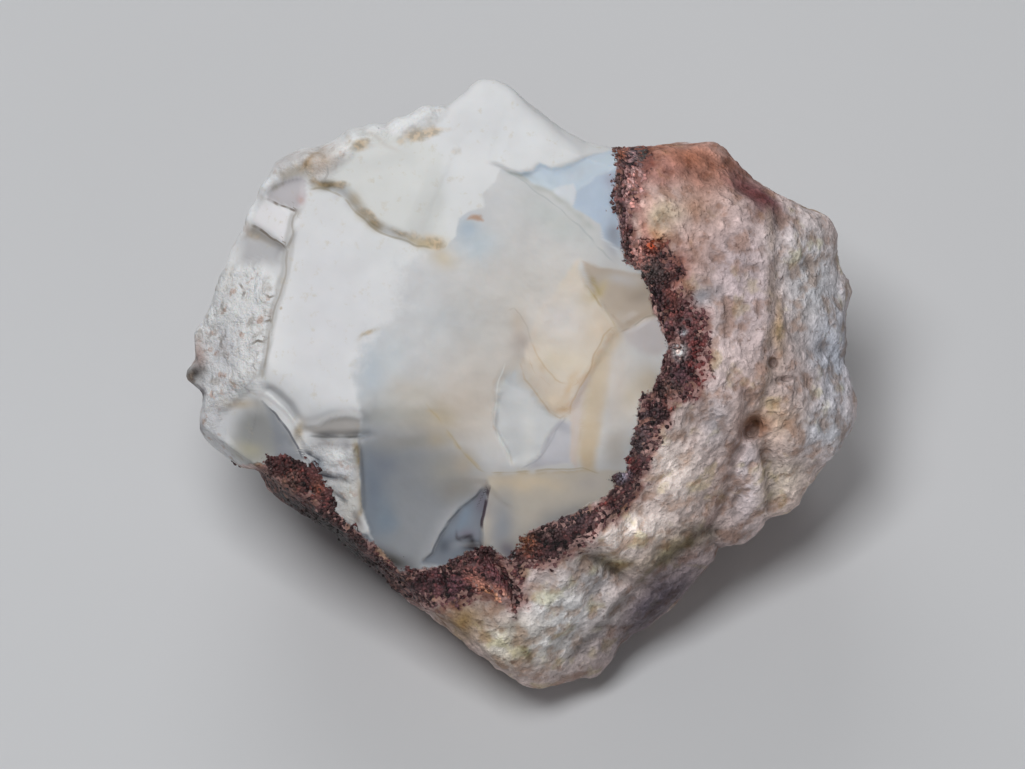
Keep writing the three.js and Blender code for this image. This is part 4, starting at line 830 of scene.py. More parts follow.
RIM_PATCHES = [
    (7.3, 12.2, 0.9, 2.9, 0, "#d3a8a4", 1),
    (7.8, 9.2, 0.6, 2.2, 0, "#cf9b92", 1),
    (6.5, 11.2, 0.3, 2.2, 0, "#4b343b", 0.9),
    (6.9, 8.6, 0.22, 1.2, 0, "#3f2a2e", 0.9),
    (7.3, 12.4, 0.2, 0.9, -30, "#5a3d40", 0.9),
    (6.6, 15.1, 0.45, 0.45, 0, "#9b5c43", 1),
    (7.2, 15, 0.35, 0.4, 0, "#a08d94", 0.9),
    (7.9, 15, 0.5, 0.7, 0, "#3b3a38", 1),
    (7.2, 14.3, 0.7, 0.22, 0, "#32202f", 1),
    (8.5, 9, 0.5, 0.5, 0, "#cc5f38", 1),
    (9.1, 9.2, 0.5, 0.6, 0, "#6d3c2c", 0.9),
    (8.7, 7.2, 1.1, 1.1, 0, "#504443", 1),
    (9, 5.7, 0.6, 0.9, 0, "#33252a", 1),
    (9.9, 5.6, 0.5, 1.5, 0, "#7a4842", 1),
    (11, 4.3, 0.8, 0.8, 0, "#6b484a", 0.9),
    (9.5, 3.6, 0.5, 0.7, 0, "#6b4f54", 0.9),
    (11.5, 1.2, 0.7, 2.2, 5, "#6b3230", 1),
    (10.5, 0.4, 0.7, 1, 0, "#52383f", 0.9),
    (9.7, -0.8, 0.6, 0.7, 0, "#716059", 0.9),
    (9.1, -1.9, 0.8, 1.2, 0, "#463337", 1),
    (8.1, -2.5, 0.5, 1, 0, "#5b4e52", 0.9),
    (9.8, -1.8, 0.5, 0.7, 0, "#7f4f47", 0.9),
    (7.8, -4.2, 0.6, 1.1, 0, "#6b5c5f", 1),
    (7.2, -5.6, 0.5, 0.6, 0, "#7f403f", 1),
    (6.6, -6.4, 0.4, 0.4, 0, "#b3acbf", 1),
    (5.8, -7.5, 1.1, 0.4, 35, "#3a2227", 1),
    (5, -8.4, 1.2, 0.3, 30, "#743a34", 0.9),
    (3.6, -9.1, 1.5, 0.7, 20, "#54464a", 1),
    (2.2, -11, 1.2, 0.6, 10, "#3a2427", 1),
    (1.4, -10.1, 0.9, 0.4, 10, "#584644", 0.9),
    (0.3, -10.9, 0.5, 0.7, 0, "#976246", 1),
    (-4.5, -13.6, 1.9, 0.9, 0, "#64424a", 0.9),
    (-2.8, -13.6, 1.2, 0.45, -38, "#c98878", 1),
    (-1.7, -14.3, 0.9, 0.35, -40, "#dba28e", 1),
    (-2.3, -14.2, 0.7, 0.3, -35, "#c98d66", 0.9),
    (-1.7, -12.9, 1, 0.35, -48, "#7a5056", 1),
    (-0.7, -14, 0.25, 1.1, 15, "#2b181b", 1),
    (-6.6, -13.4, 1.7, 0.5, 0, "#42272b", 0.9),
    (-15, -6.2, 2.8, 1.3, -30, "#643a39", 1),
    (-15.4, -6.5, 0.5, 0.4, 0, "#a57a70", 0.8),
    (-13.6, -7.2, 0.4, 0.5, 0, "#8f5a4a", 0.8),
    (-14.8, -5.5, 1.4, 0.3, 0, "#3a282a", 0.9),
    (-16, -6.8, 0.9, 0.4, -20, "#7d6355", 0.8),
    # Near-black patches under the lower-left edge: painted shadow
    (-12.5, -10.5, 5, 1, -42, "#231917", 1),
    (-16.3, -7.5, 1.6, 0.5, -38, "#2a1f1d", 1),
    (10.5, 3.2, 0.22, 0.22, 0, "#d3dae6", 1),
    (10.4, 1.8, 0.4, 0.36, 30, "#f4f6fb", 1),
]
HIDDEN_RIM_HALF_WIDTH = 0.7
HIDDEN_RIM_PLACE = 0.3

# Dark granules that stand out of the rim: number, radii, share of each that shows, and scatter.
# Each ball is squashed, and its colour is a share of the rim's.
GRAIN_COUNT = 1300
GRAIN_CUTS = 2
GRAIN_RADII = (0.06, 0.15)
GRAIN_SHOWS = 0.3
GRAIN_SCATTER = 0.09
GRAIN_SQUASH = (0.7, 1.1)
GRAIN_SHADE = (0.15, 0.8)

# Where granules stand. They are likely in a band along the opal, in clumps and where the rim is dark,
# and the shares say how likely they are elsewhere.
GRAIN_RIM_STARTS = (-0.1, 0.15)
GRAIN_BAND = 0.15
GRAIN_BAND_WIDTH = 0.35
GRAINS_OFF_BAND = 0.02
CLUMP_PATTERN = (1.1, 61)
CLUMP_STARTS = (-0.1, 0.5)
GRAINS_OFF_CLUMPS = 0.05
LIGHT_RIM_STARTS = (0.12, 0.4)
GRAINS_ON_LIGHT_RIM = 0.15
GRAIN_HEIGHTS = (0.5, 1.0)

# Patterns of the material: size, seed, detail, and roughness of the detail
PATTERNS = {
    "fine": (0.35, 1, 2, 0.5),
    "medium": (0.9, 2, 3, 0.5),
    "broad": (2.2, 3, 2, 0.5),
    "grit": (0.14, 4, 1, 0.5),
    "dirt": (0.6, 5, 4, 0.65),
    "pit_shade": (0.9, 6, 4, 0.6),
    "rust": (0.8, 7, 3, 0.5),
    "mottle_and_lump_light": (1.2, 8, 4, 0.54),
    "warmth": (1.6, 9, 3, 0.5),
    "dark_rim": (0.7, 13, 3, 0.6),
    "chalk_relief": (1.0, 15, 5, 0.6),
    "opal_waves": (1.1, 16, 2, 0.5),
    "crumbs": (0.3, 18, 2, 0.5),
    "pores": (0.5, 19, 3, 0.6),
    "lit_crumb_tops": (0.55, 20, 2, 0.5),
    "grain_colour": (0.12, 1, 2, 0.5),
    "grain_relief": (0.08, 2, 2, 0.5),
}

# Size of the rim's granules, spacing of the dark specks, and their radius as a share of that spacing
GRANULE_SIZE = 0.24
SPECK_SPACING = 1.9
SPECK_RADIUS = (0.045, 0.025)

# Heights of the material's own relief
MOTTLE_HEIGHT = 0.55
CRUMB_HEIGHT = 0.09
CRUMB_TOP_HEIGHT = 0.08
GRIT_HEIGHT = 0.02
RIM_GRANULE_HEIGHT = 0.12
CHALK_HEIGHT = 1.1
OPAL_WAVE_HEIGHT = 0.02
GRAIN_HEIGHT = 0.02
GRAIN_RELIEF_STRENGTH = 0.6

# Roughness of the surfaces, and how far light goes into the opal: its share, then its reach by colour
ROCK_ROUGHNESS = 0.85
OPAL_ROUGHNESS = 0.55
CLEAR_SMOOTHER = 0.1
RIM_SMOOTHER = 0.3
GRAIN_ROUGHNESS = 0.55
WHITE_GLOW = 0.3
CLEAR_EXTRA_GLOW = 0.5
GLOW_REACH = (1.6, 1.3, 1.1)
STONE_IOR = 1.45


def smoothstep(start, end, value):
    t = np.clip((value - start) / (end - start), 0, 1)
    return t * t * (3 - 2 * t)


def soft_min(a, b, rounding):
    t = np.clip(0.5 + 0.5 * (b - a) / rounding, 0, 1)
    return b + (a - b) * t - rounding * t * (1 - t)


def mix(a, b, share):
    return a + (b - a) * share


# Factors that mix places and seeds into random values
HASH_X = np.uint32(374761393)
HASH_Y = np.uint32(668265263)
HASH_Z = np.uint32(2246822519)
HASH_SEED = np.uint32(3266489917)
HASH_MIX = np.uint32(1274126177)


def corner_value(x, y, z, seed):
    """A repeatable random value from -1 to 1 for each corner of a cubic grid."""
    with np.errstate(over="ignore"):
        h = (x.astype(np.uint32) * HASH_X + y.astype(np.uint32) * HASH_Y
             + z.astype(np.uint32) * HASH_Z + np.uint32(seed) * HASH_SEED)
        h = (h ^ (h >> np.uint32(13))) * HASH_MIX
        h = (h ^ (h >> np.uint32(15))) * HASH_Z
    return (h ^ (h >> np.uint32(16))).astype(float) / 2 ** 31 - 1


def noise(points, size, seed):
    """Smooth random values at points, changing over the given size."""
    scaled = points / size
    corner = np.floor(scaled).astype(np.int64)
    t = scaled - corner
    t = t * t * t * (t * (t * 6 - 15) + 10)
    total = 0
    for step in np.ndindex(2, 2, 2):
        weight = np.prod(np.abs(1 - np.array(step) - t), axis=1)
        total = total + weight * corner_value(*(corner + step).T, seed)
    return total


def lumps(points, size, height, fading, seed):
    """Lumps of several sizes, each half as wide as the one before."""
    return height * sum(
        fading ** k * noise(points + OCTAVE_SHIFT * k, size / 2 ** k, seed + k)
        for k in range(LUMP_OCTAVES)
    )


def nearest_on_line(line, x, y):
    """Signed distance to a run of straight stretches, positive on its left, and length travelled."""
    corners = np.array(line, float)
    nearest = np.full(x.shape, np.inf)
    signed = np.zeros(x.shape)
    travelled = np.zeros(x.shape)
    start = 0
    for a, b in zip(corners[:-1], corners[1:]):
        ex, ey = b - a
        length = math.hypot(ex, ey)
        t = np.clip(((x - a[0]) * ex + (y - a[1]) * ey) / length ** 2, 0, 1)
        distance = np.hypot(x - a[0] - t * ex, y - a[1] - t * ey)
        side = np.sign(ex * (y - a[1]) - ey * (x - a[0]))
        closer = distance < nearest
        nearest = np.where(closer, distance, nearest)
        signed = np.where(closer, distance * side, signed)
        travelled = np.where(closer, start + t * length, travelled)
        start += length
    return signed, travelled, start


def faded_ends(travelled, total, fade):
    """1 along a line, falling to 0 at both of its ends."""
    return smoothstep(0, fade, travelled) * smoothstep(0, fade, total - travelled)


def depth_inside(outline, x, y):
    """Distance to a closed outline, positive inside it."""
    corners = np.array(outline, float)
    nearest = np.full(x.shape, np.inf)
    inside = np.zeros(x.shape, bool)
    for a, b in zip(corners, np.roll(corners, -1, axis=0)):
        ex, ey = b - a
        t = np.clip(((x - a[0]) * ex + (y - a[1]) * ey) / (ex * ex + ey * ey), 0, 1)
        nearest = np.minimum(nearest, np.hypot(x - a[0] - t * ex, y - a[1] - t * ey))
        if ey:
            inside ^= ((a[1] > y) != (b[1] > y)) & (x < ex * (y - a[1]) / ey + a[0])
    return np.where(inside, nearest, -nearest)


def oval_distance(oval, x, y):
    """Squared distance from the middle of an oval, 1 on its edge."""
    cx, cy, half_length, half_width, turn = oval
    c, s = math.cos(math.radians(turn)), math.sin(math.radians(turn))
    u = ((x - cx) * c + (y - cy) * s) / half_length
    v = ((y - cy) * c - (x - cx) * s) / half_width
    return u * u + v * v


# From the face frame to the stone's own frame
ACROSS_FACE = np.array([1, 0, 0])
UP_FACE = np.array([0, math.sin(FACE_TILT), math.cos(FACE_TILT)])
OUT_OF_FACE = np.array([0, -math.cos(FACE_TILT), math.sin(FACE_TILT)])
FACE_AXES = np.array([ACROSS_FACE, UP_FACE, OUT_OF_FACE])
MIDDLE = np.array([0, 0, MIDDLE_HEIGHT])
MM = 0.001


# Corners of a ball are told apart to this many steps of its radius
BALL_STEPS = 1e5


def sphere(cuts):
    """Corners and triangles of an icosahedron with each edge cut, on the unit sphere."""
    golden = (1 + 5 ** 0.5) / 2
    first = np.array([
        (-1, golden, 0), (1, golden, 0), (-1, -golden, 0), (1, -golden, 0), (0, -1, golden), (0, 1, golden),
        (0, -1, -golden), (0, 1, -golden), (golden, 0, -1), (golden, 0, 1), (-golden, 0, -1),
        (-golden, 0, 1),
    ])
    sides = [
        (0, 11, 5), (0, 5, 1), (0, 1, 7), (0, 7, 10), (0, 10, 11), (1, 5, 9), (5, 11, 4), (11, 10, 2),
        (10, 7, 6), (7, 1, 8), (3, 9, 4), (3, 4, 2), (3, 2, 6), (3, 6, 8), (3, 8, 9), (4, 9, 5),
        (2, 4, 11), (6, 2, 10), (8, 6, 7), (9, 8, 1),
    ]
    grid = [(i, j) for i in range(cuts + 1) for j in range(cuts + 1 - i)]
    number = {place: k for k, place in enumerate(grid)}
    upward = [(number[i, j], number[i + 1, j], number[i, j + 1]) for i, j in grid if i + j < cuts]
    downward = [
        (number[i + 1, j], number[i + 1, j + 1], number[i, j + 1]) for i, j in grid if i + j < cuts - 1
    ]
    small = np.array(upward + downward)
    share = np.array(grid, float) / cuts
    corners, triangles = [], []
    for k, (a, b, c) in enumerate(sides):
        along, across = first[b] - first[a], first[c] - first[a]
        corners.append(first[a] + share[:, :1] * along + share[:, 1:] * across)
        triangles.append(small + k * len(grid))
    corners = np.vstack(corners)
    corners /= np.linalg.norm(corners, axis=1)[:, None]
    rounded = np.round(corners * BALL_STEPS).astype(np.int64)
    _, kept, merged = np.unique(rounded, axis=0, return_index=True, return_inverse=True)
    return corners[kept], merged.reshape(-1)[np.vstack(triangles)]


def sharp_radius(angle):
    """Distance to the outline in each direction."""
    corners = np.array(OUTLINE, float)
    angles = np.arctan2(corners[:, 1], corners[:, 0])
    order = np.argsort(angles)
    corners, angles = corners[order], angles[order]
    corners = np.vstack([corners[-1], corners, corners[0]])
    angles = np.concatenate([[angles[-1] - 2 * np.pi], angles, [angles[0] + 2 * np.pi]])
    i = np.clip(np.searchsorted(angles, angle) - 1, 0, len(angles) - 2)
    a, b = corners[i], corners[i + 1]
    ex, ey = (b - a).T
    return (a[:, 0] * ey - a[:, 1] * ex) / (np.cos(angle) * ey - np.sin(angle) * ex)


def averaged_radius(angle, turns):
    """Distance to the outline in each direction, averaged over directions turned by small angles."""
    turned = [np.arctan2(np.sin(angle + turn), np.cos(angle + turn)) for turn in turns]
    return sum(sharp_radius(a) for a in turned) / len(turned)


def outline_radius(angle):
    """Distance to the outline in each direction, its corners slightly rounded."""
    return averaged_radius(angle, CORNER_ROUNDING)


def smooth_radius(angle):
    """The outline without its small bumps, nowhere outside the outline itself."""
    return np.minimum(averaged_radius(angle, SMOOTHING), outline_radius(angle))


def ring_height(angle):
    """How far out of the face the widest outline lies."""
    return RIM_MIDDLE + RIM_RISE_UP * np.sin(angle) - RIM_FALL_RIGHT * np.cos(angle)


def body_points(directions):
    """The rounded body before it is broken: the outline, bulging to the front and back."""
    dx, dy, dz = directions.T
    angle = np.arctan2(dy, dx)
    power = np.where(dz > 0, FRONT_ROUNDNESS, BACK_ROUNDNESS)
    across = np.hypot(dx, dy) ** (2 / power)
    along = np.abs(dz) ** (2 / power)
    size = (across ** power + along ** power) ** (1 / power)
    across, along = across / size, along / size
    ring = ring_height(angle) * across
    hidden = smoothstep(0, -SILHOUETTE_BLEND, dz)
    radius = mix(outline_radius(angle), smooth_radius(angle), hidden) * across
    bulge = np.where(dz > 0, FRONT_DEPTH - ring, -(BACK_DEPTH + ring))
    return np.stack([radius * np.cos(angle), radius * np.sin(angle), bulge * along + ring], 1)


# Directions that hardly rise towards a face never reach it
LEAST_SLOPE = 0.001
FAR = 1000.0


def reach_of(normal, distance, directions):
    """How far along each direction a flat face stops it."""
    slope = directions @ normal
    return np.where(slope > LEAST_SLOPE, distance / np.maximum(slope, LEAST_SLOPE), FAR)


def face_plane(corners):
    """Outward direction of the face through three corners, and its distance from the middle."""
    a, b, c = np.array(corners, float)
    normal = np.cross(b - a, c - a)
    normal /= np.linalg.norm(normal)
    distance = normal @ a
    return (normal, distance) if distance > 0 else (-normal, -distance)


def broken_radius(points):
    """Distances from the middle at which points of the body are inside every broken face."""
    radius = np.linalg.norm(points, axis=1)
    directions = points / radius[:, None]
    for corners, rounding in FACES.values():
        radius = soft_min(radius, reach_of(*face_plane(corners), directions), rounding)
    behind = radius
    for direction, distance, rounding in BREAKS.values():
        normal = FACE_AXES @ (np.array(direction) / np.linalg.norm(direction))
        behind = soft_min(behind, reach_of(normal, distance, directions), rounding)
    return mix(radius, behind, smoothstep(0, BREAKS_FULL_AT, -directions[:, 2]))


def depth_in_opal(points):
    """Distance inside the opal, negative in the rock."""
    x, y, w = points.T
    waver = OPAL_BACK_WAVER * noise(points, OPAL_BACK_WAVE, OPAL_SEED)
    return np.minimum(depth_inside(OPAL_EDGE, x, y), (w - OPAL_BACK) * OPAL_BACK_SLOPE + waver)


def chalk_share(points):
    """How chalky the opal is, from 0 to 1."""
    x, y = points[:, 0], points[:, 1]
    shares = [strength * smoothstep(*CHALK_FADES, depth_inside(edge, x, y))
              for edge, strength in CHALK_EDGES.values()]
    return np.max(shares, axis=0)


def roughness(points):
    """Height of the random lumps: low waves on the opal, more on the chalk and the rock."""
    rock = smoothstep(*ROCK_ROUGHNESS_STARTS, depth_in_opal(points))
    rind = chalk_share(points)
    potch = mix(lumps(points, *OPAL_WAVES), lumps(points, *RIND_LUMPS), rind)
    return mix(potch, lumps(points * (1, ROCK_GRAIN_STRETCH, 1), *ROCK_LUMPS), rock)


def ledge_height(ledge, x, y):
    """A step along a line: each side rises or falls on its own, with a crest between them."""
    line, (rise_left, reach_left), (rise_right, reach_right), width, fade, (crest, crest_width) = ledge
    signed, travelled, total = nearest_on_line(line, x, y)
    side = smoothstep(-width / 2, width / 2, signed)
    left = rise_left * np.exp(-(signed / reach_left) ** 2)
    right = rise_right * np.exp(-(signed / reach_right) ** 2)
    height = mix(right, left, side) + crest * np.exp(-(signed / crest_width) ** 2)
    return faded_ends(travelled, total, fade) * height


def relief(x, y):
    """Height of the ledges, swells and holes on the face."""
    height = sum(ledge_height(ledge, x, y) for ledge in LEDGES.values())
    height = height + sum(rise * np.exp(-oval_distance(oval, x, y)) for *oval, rise in SWELLS)
    return height - sum(depth * np.exp(-oval_distance(oval, x, y) ** 2) for *oval, depth in HOLES)


def surface_points(directions):
    """Points of the finished surface in the face frame."""
    body = body_points(directions)
    toward = body / np.linalg.norm(body, axis=1)[:, None]
    broken = toward * broken_radius(body)[:, None]
    radius = np.linalg.norm(broken, axis=1) + roughness(broken)
    down = -FACE_AXES[:, 2]
    points = toward * np.minimum(radius, reach_of(down, MIDDLE_HEIGHT, toward))[:, None]
    points[:, 2] += relief(points[:, 0], points[:, 1]) * smoothstep(*RELIEF_STARTS, points[:, 2])
    below = np.maximum(points @ down - MIDDLE_HEIGHT, 0)
    return points - below[:, None] * down


def linear(colour):
    """A colour as it looks in the soft light, as the stone's own linear colour."""
    parts = np.array([int(colour[i:i + 2], 16) for i in (1, 3, 5)]) / 255
    seen = np.where(parts <= 0.04045, parts / 12.92, ((parts + 0.055) / 1.055) ** 2.4)
    return np.minimum(seen * OWN_COLOUR_LIFT, LIGHTEST)


def plain(colour, x):
    """The same colour for every point."""
    return np.tile(linear(colour), (len(x), 1))


def wavered(points, amount, size, seed):
    """Places on the face, shifted at random so that patches have uneven edges."""
    return (points[:, 0] + amount * noise(points, size, seed),
            points[:, 1] + amount * noise(points, size, seed + 1))


def painted(colour, patches, x, y, share):
    """Colours with soft oval patches over them."""
    for *oval, tint, strength in patches:
        cover = strength * np.exp(-oval_distance(oval, x, y)) * share
        colour = mix(colour, linear(tint), cover[:, None])
    return colour


def faceted(colour, facets, points, share):
    """The colour with flat patches over it, each in an outline on the face."""
    x, y = wavered(points, *FACET_WAVER)
    for outline, softness, tint, strength in facets.values():
        cover = strength * smoothstep(-softness, softness, depth_inside(outline, x, y)) * share
        colour = mix(colour, linear(tint), cover[:, None])
    return colour


def drawn(colour, lines, points, share):
    """The colour with fine lines over it, uneven along their length and fading at their ends."""
    x, y = wavered(points, *FACET_WAVER)
    uneven = smoothstep(*DRAWN_COMES_UP, noise(points, *LINE_GAPS))
    width = 1 + WIDTH_CHANGE * noise(points, *WIDTH_PATTERN)
    for line, half_width, tint, strength in lines.values():
        signed, travelled, total = nearest_on_line(line, x, y)
        ends = faded_ends(travelled, total, min(DRAWN_FADE, total * DRAWN_FADE_SHARE))
        cover = strength * ends * uneven * np.exp(-(signed / (half_width * width)) ** 2) * share
        colour = mix(colour, linear(tint), cover[:, None])
    return colour


def thin_lines(points):
    """For each point: distance to the nearest thin line in half widths, its strength and its colour."""
    x, y = wavered(points, *FACET_WAVER)
    uneven = smoothstep(*THIN_COMES_UP, noise(points, *LINE_GAPS))
    nearest = np.full(len(x), np.inf)
    across = np.zeros(len(x))
    strengths = np.zeros(len(x))
    colour = np.zeros((len(x), 3))
    for line, half_width, tint, strength in THIN_LINES.values():
        signed, travelled, total = nearest_on_line(line, x, y)
        distance = np.abs(signed)
        nearer = distance < nearest
        shown = strength * faded_ends(travelled, total, THIN_FADE) * uneven * (distance < THIN_LINE_REACH)
        nearest = np.where(nearer, distance, nearest)
        across = np.where(nearer, signed / half_width, across)
        strengths = np.where(nearer, shown, strengths)
        colour = np.where(nearer[:, None], linear(tint), colour)
    return across, strengths, colour


# How many rounds of smoothing a hollow is measured against
HOLLOW_ROUNDS = 4


def concavity(points, normals, triangles):
    """How deep each point lies below its neighbours' average, in millimetres."""
    edges = np.vstack([triangles[:, [0, 1]], triangles[:, [1, 2]], triangles[:, [2, 0]]])
    a, b = edges.T
    count = np.bincount(a, minlength=len(points))[:, None]
    smooth = points
    for _ in range(HOLLOW_ROUNDS):
        total = np.stack([np.bincount(a, smooth[b, k], len(points)) for k in range(3)], 1)
        smooth = total / count
    return np.sum((smooth - points) * normals, axis=1)


def markings(points):
    """Values that the stone's material reads, by name."""
    x, y, w = points.T
    front = smoothstep(*FRONT_STARTS, w - ring_height(np.arctan2(y, x)))
    face_front = smoothstep(0, CLEAR_FACES_HEIGHT, w)
    opal = depth_in_opal(points)
    rim_face = np.max([depth_inside(edge, x, y) for edge in RIM_EDGES.values()], axis=0)
    rim_hidden = HIDDEN_RIM_HALF_WIDTH - np.abs(opal + HIDDEN_RIM_PLACE)
    soft = mix(CRISP_EDGE, SOFT_EDGE, np.exp(-oval_distance(SOFT_EDGE_MIDDLE, x, y) ** 2))
    white_face = depth_inside(WHITE_EDGE, x, y) / soft
    fx, fy = wavered(points, *PATCH_WAVER)
    rx, ry = wavered(points, *ROCK_WAVER)
    clear = painted(plain(CLEAR_COLOUR, x), CLEAR_PATCHES, fx, fy, front)
    clear = faceted(clear, CLEAR_FACETS, points, face_front)
    clear = painted(clear, CLEAR_SHADES, fx, fy, front)
    white = painted(plain(WHITE_COLOUR, x), WHITE_PATCHES, fx, fy, front)
    white = faceted(white, WHITE_FACETS, points, face_front)
    white = painted(white, WHITE_SHADES, fx, fy, front)
    rock = painted(plain(ROCK_COLOUR, x), ROCK_PATCHES, rx, ry, front)
    stain = sum(strength * np.exp(-oval_distance(oval, fx, fy)) for *oval, strength in STAINS)
    line, line_share, line_colour = thin_lines(points)
    return {
        "opal": opal,
        "rim": mix(rim_hidden, rim_face, front),
        "white": mix(np.full(len(x), HIDDEN_WHITE), white_face, front),
        "stain": np.minimum(stain * face_front, 1),
        "chalk": chalk_share(points),
        "line": line,
        "line_share": line_share * face_front,
        "line_colour": line_colour,
        "clear_colour": drawn(clear, CLEAR_LINES, points, face_front),
        "white_colour": drawn(white, WHITE_LINES, points, face_front),
        "rock_colour": drawn(rock, ROCK_LINES, points, face_front),
        "rim_colour": painted(plain(RIM_COLOUR, x), RIM_PATCHES, fx, fy, front),
    }


def add_values(mesh, values):
    """Stores values for a mesh's points: single numbers, colours or places."""
    for title, value in values.items():
        if value.ndim == 1:
            stored = mesh.attributes.new(title, "FLOAT", "POINT")
            stored.data.foreach_set("value", value.astype(np.float32))
        elif title.endswith("colour"):
            rgba = np.hstack([value, np.ones((len(value), 1))])
            stored = mesh.attributes.new(title, "FLOAT_COLOR", "POINT")
            stored.data.foreach_set("color", rgba.astype(np.float32).ravel())
        else:
            stored = mesh.attributes.new(title, "FLOAT_VECTOR", "POINT")
            stored.data.foreach_set("vector", value.astype(np.float32).ravel())


def make_mesh(name, points, triangles, values):
    """A smooth mesh object in metres, with values for its points."""
    mesh = bpy.data.meshes.new(name)
    mesh.vertices.add(len(points))
    mesh.vertices.foreach_set("co", (points * MM).astype(np.float32).ravel())
    mesh.loops.add(triangles.size)
    mesh.loops.foreach_set("vertex_index", triangles.astype(np.int32).ravel())
    mesh.polygons.add(len(triangles))
    mesh.polygons.foreach_set("loop_start", np.arange(0, triangles.size, 3, dtype=np.int32))
    mesh.update(calc_edges=True)
    mesh.shade_smooth()
    add_values(mesh, values)
    piece = bpy.data.objects.new(name, mesh)
    bpy.context.scene.collection.objects.link(piece)
    return piece


class Material:
    """A material with short calls for the nodes that it uses."""

    def __init__(self, name):
        self.material = bpy.data.materials.new(name)
        self.material.use_nodes = True
        self.tree = self.material.node_tree
        self.shader = self.tree.nodes["Principled BSDF"]

    def put(self, socket, value):
        """Links or sets a socket: to a node's result, a colour or a number."""
        if isinstance(value, bpy.types.NodeSocket):
            self.tree.links.new(value, socket)
        elif isinstance(value, str):
            socket.default_value = (*linear(value), 1)
        else:
            socket.default_value = value

    def node(self, kind, sockets, **settings):
        made = self.tree.nodes.new(kind)
        for key, value in settings.items():
            setattr(made, key, value)
        for key, value in sockets.items():
            self.put(made.inputs[key], value)
        return made

    def attribute(self, name, output="Fac"):
        return self.node("ShaderNodeAttribute", {}, attribute_name=name).outputs[output]

    def math(self, operation, first, *others):
        """The result of an operation on two values, or on more of them one after the other."""
        for other in others:
            first = self.node("ShaderNodeMath", {0: first, 1: other}, operation=operation).outputs[0]
        return first

    def add(self, *values):
        return self.math("ADD", *values)

    def times(self, *values):
        return self.math("MULTIPLY", *values)

    def less(self, *values):
        return self.math("SUBTRACT", *values)

    def step(self, value, start, end, low=0.0, high=1.0):
        """Rises smoothly from low to high while the value goes from start to end."""
        sockets = {"Value": value, "From Min": start, "From Max": end, "To Min": low, "To Max": high}
        return self.node("ShaderNodeMapRange", sockets, interpolation_type="SMOOTHSTEP").outputs[0]

    def blend(self, a, b, share, blend_type="MIX"):
        """Colour a changed into b to a share."""
        made = self.node("ShaderNodeMix", {"Factor": share}, data_type="RGBA", blend_type=blend_type)
        a_socket, b_socket = [socket for socket in made.inputs if socket.type == "RGBA"]
        self.put(a_socket, a)
        self.put(b_socket, b)
        return next(socket for socket in made.outputs if socket.type == "RGBA")

    def tinted(self, colour, tint, share=1.0):
        """The colour multiplied by a tint, to a share."""
        return self.blend(colour, tint, share, "MULTIPLY")

    def scaled(self, colour, amount):
        """The colour made lighter or darker by an amount."""
        grey = self.node("ShaderNodeCombineColor", {"Red": amount, "Green": amount, "Blue": amount})
        return self.tinted(colour, grey.outputs[0])

    def centred(self, value, amount):
        """A random value from 0 to 1, moved to lie about 0 and given a strength."""
        return self.times(self.less(value, 0.5), amount)


class PatternedMaterial(Material):
    """A material whose patterns are set out in the face frame."""

    def __init__(self, name):
        super().__init__(name)
        self.place = self.attribute("place", "Vector")

    def pattern(self, name):
        """A random value from 0 to 1 that changes over the surface."""
        size, seed, detail, roughness = PATTERNS[name]
        sockets = {"Vector": self.place, "W": seed, "Scale": 1 / size, "Detail": detail,
                   "Roughness": roughness}
        return self.node("ShaderNodeTexNoise", sockets, noise_dimensions="4D").outputs["Fac"]

    def cells(self, size, output="Distance"):
        """Distance to the middle of the nearest grain of a size, or a random colour for each grain."""
        sockets = {"Vector": self.place, "Scale": 1 / size}
        return self.node("ShaderNodeTexVoronoi", sockets).outputs[output]

    def cell_values(self, size):
        """Two random values from 0 to 1 for each grain of a size."""
        parts = self.node("ShaderNodeSeparateColor", {0: self.cells(size, "Color")}).outputs
        return parts[0], parts[1]


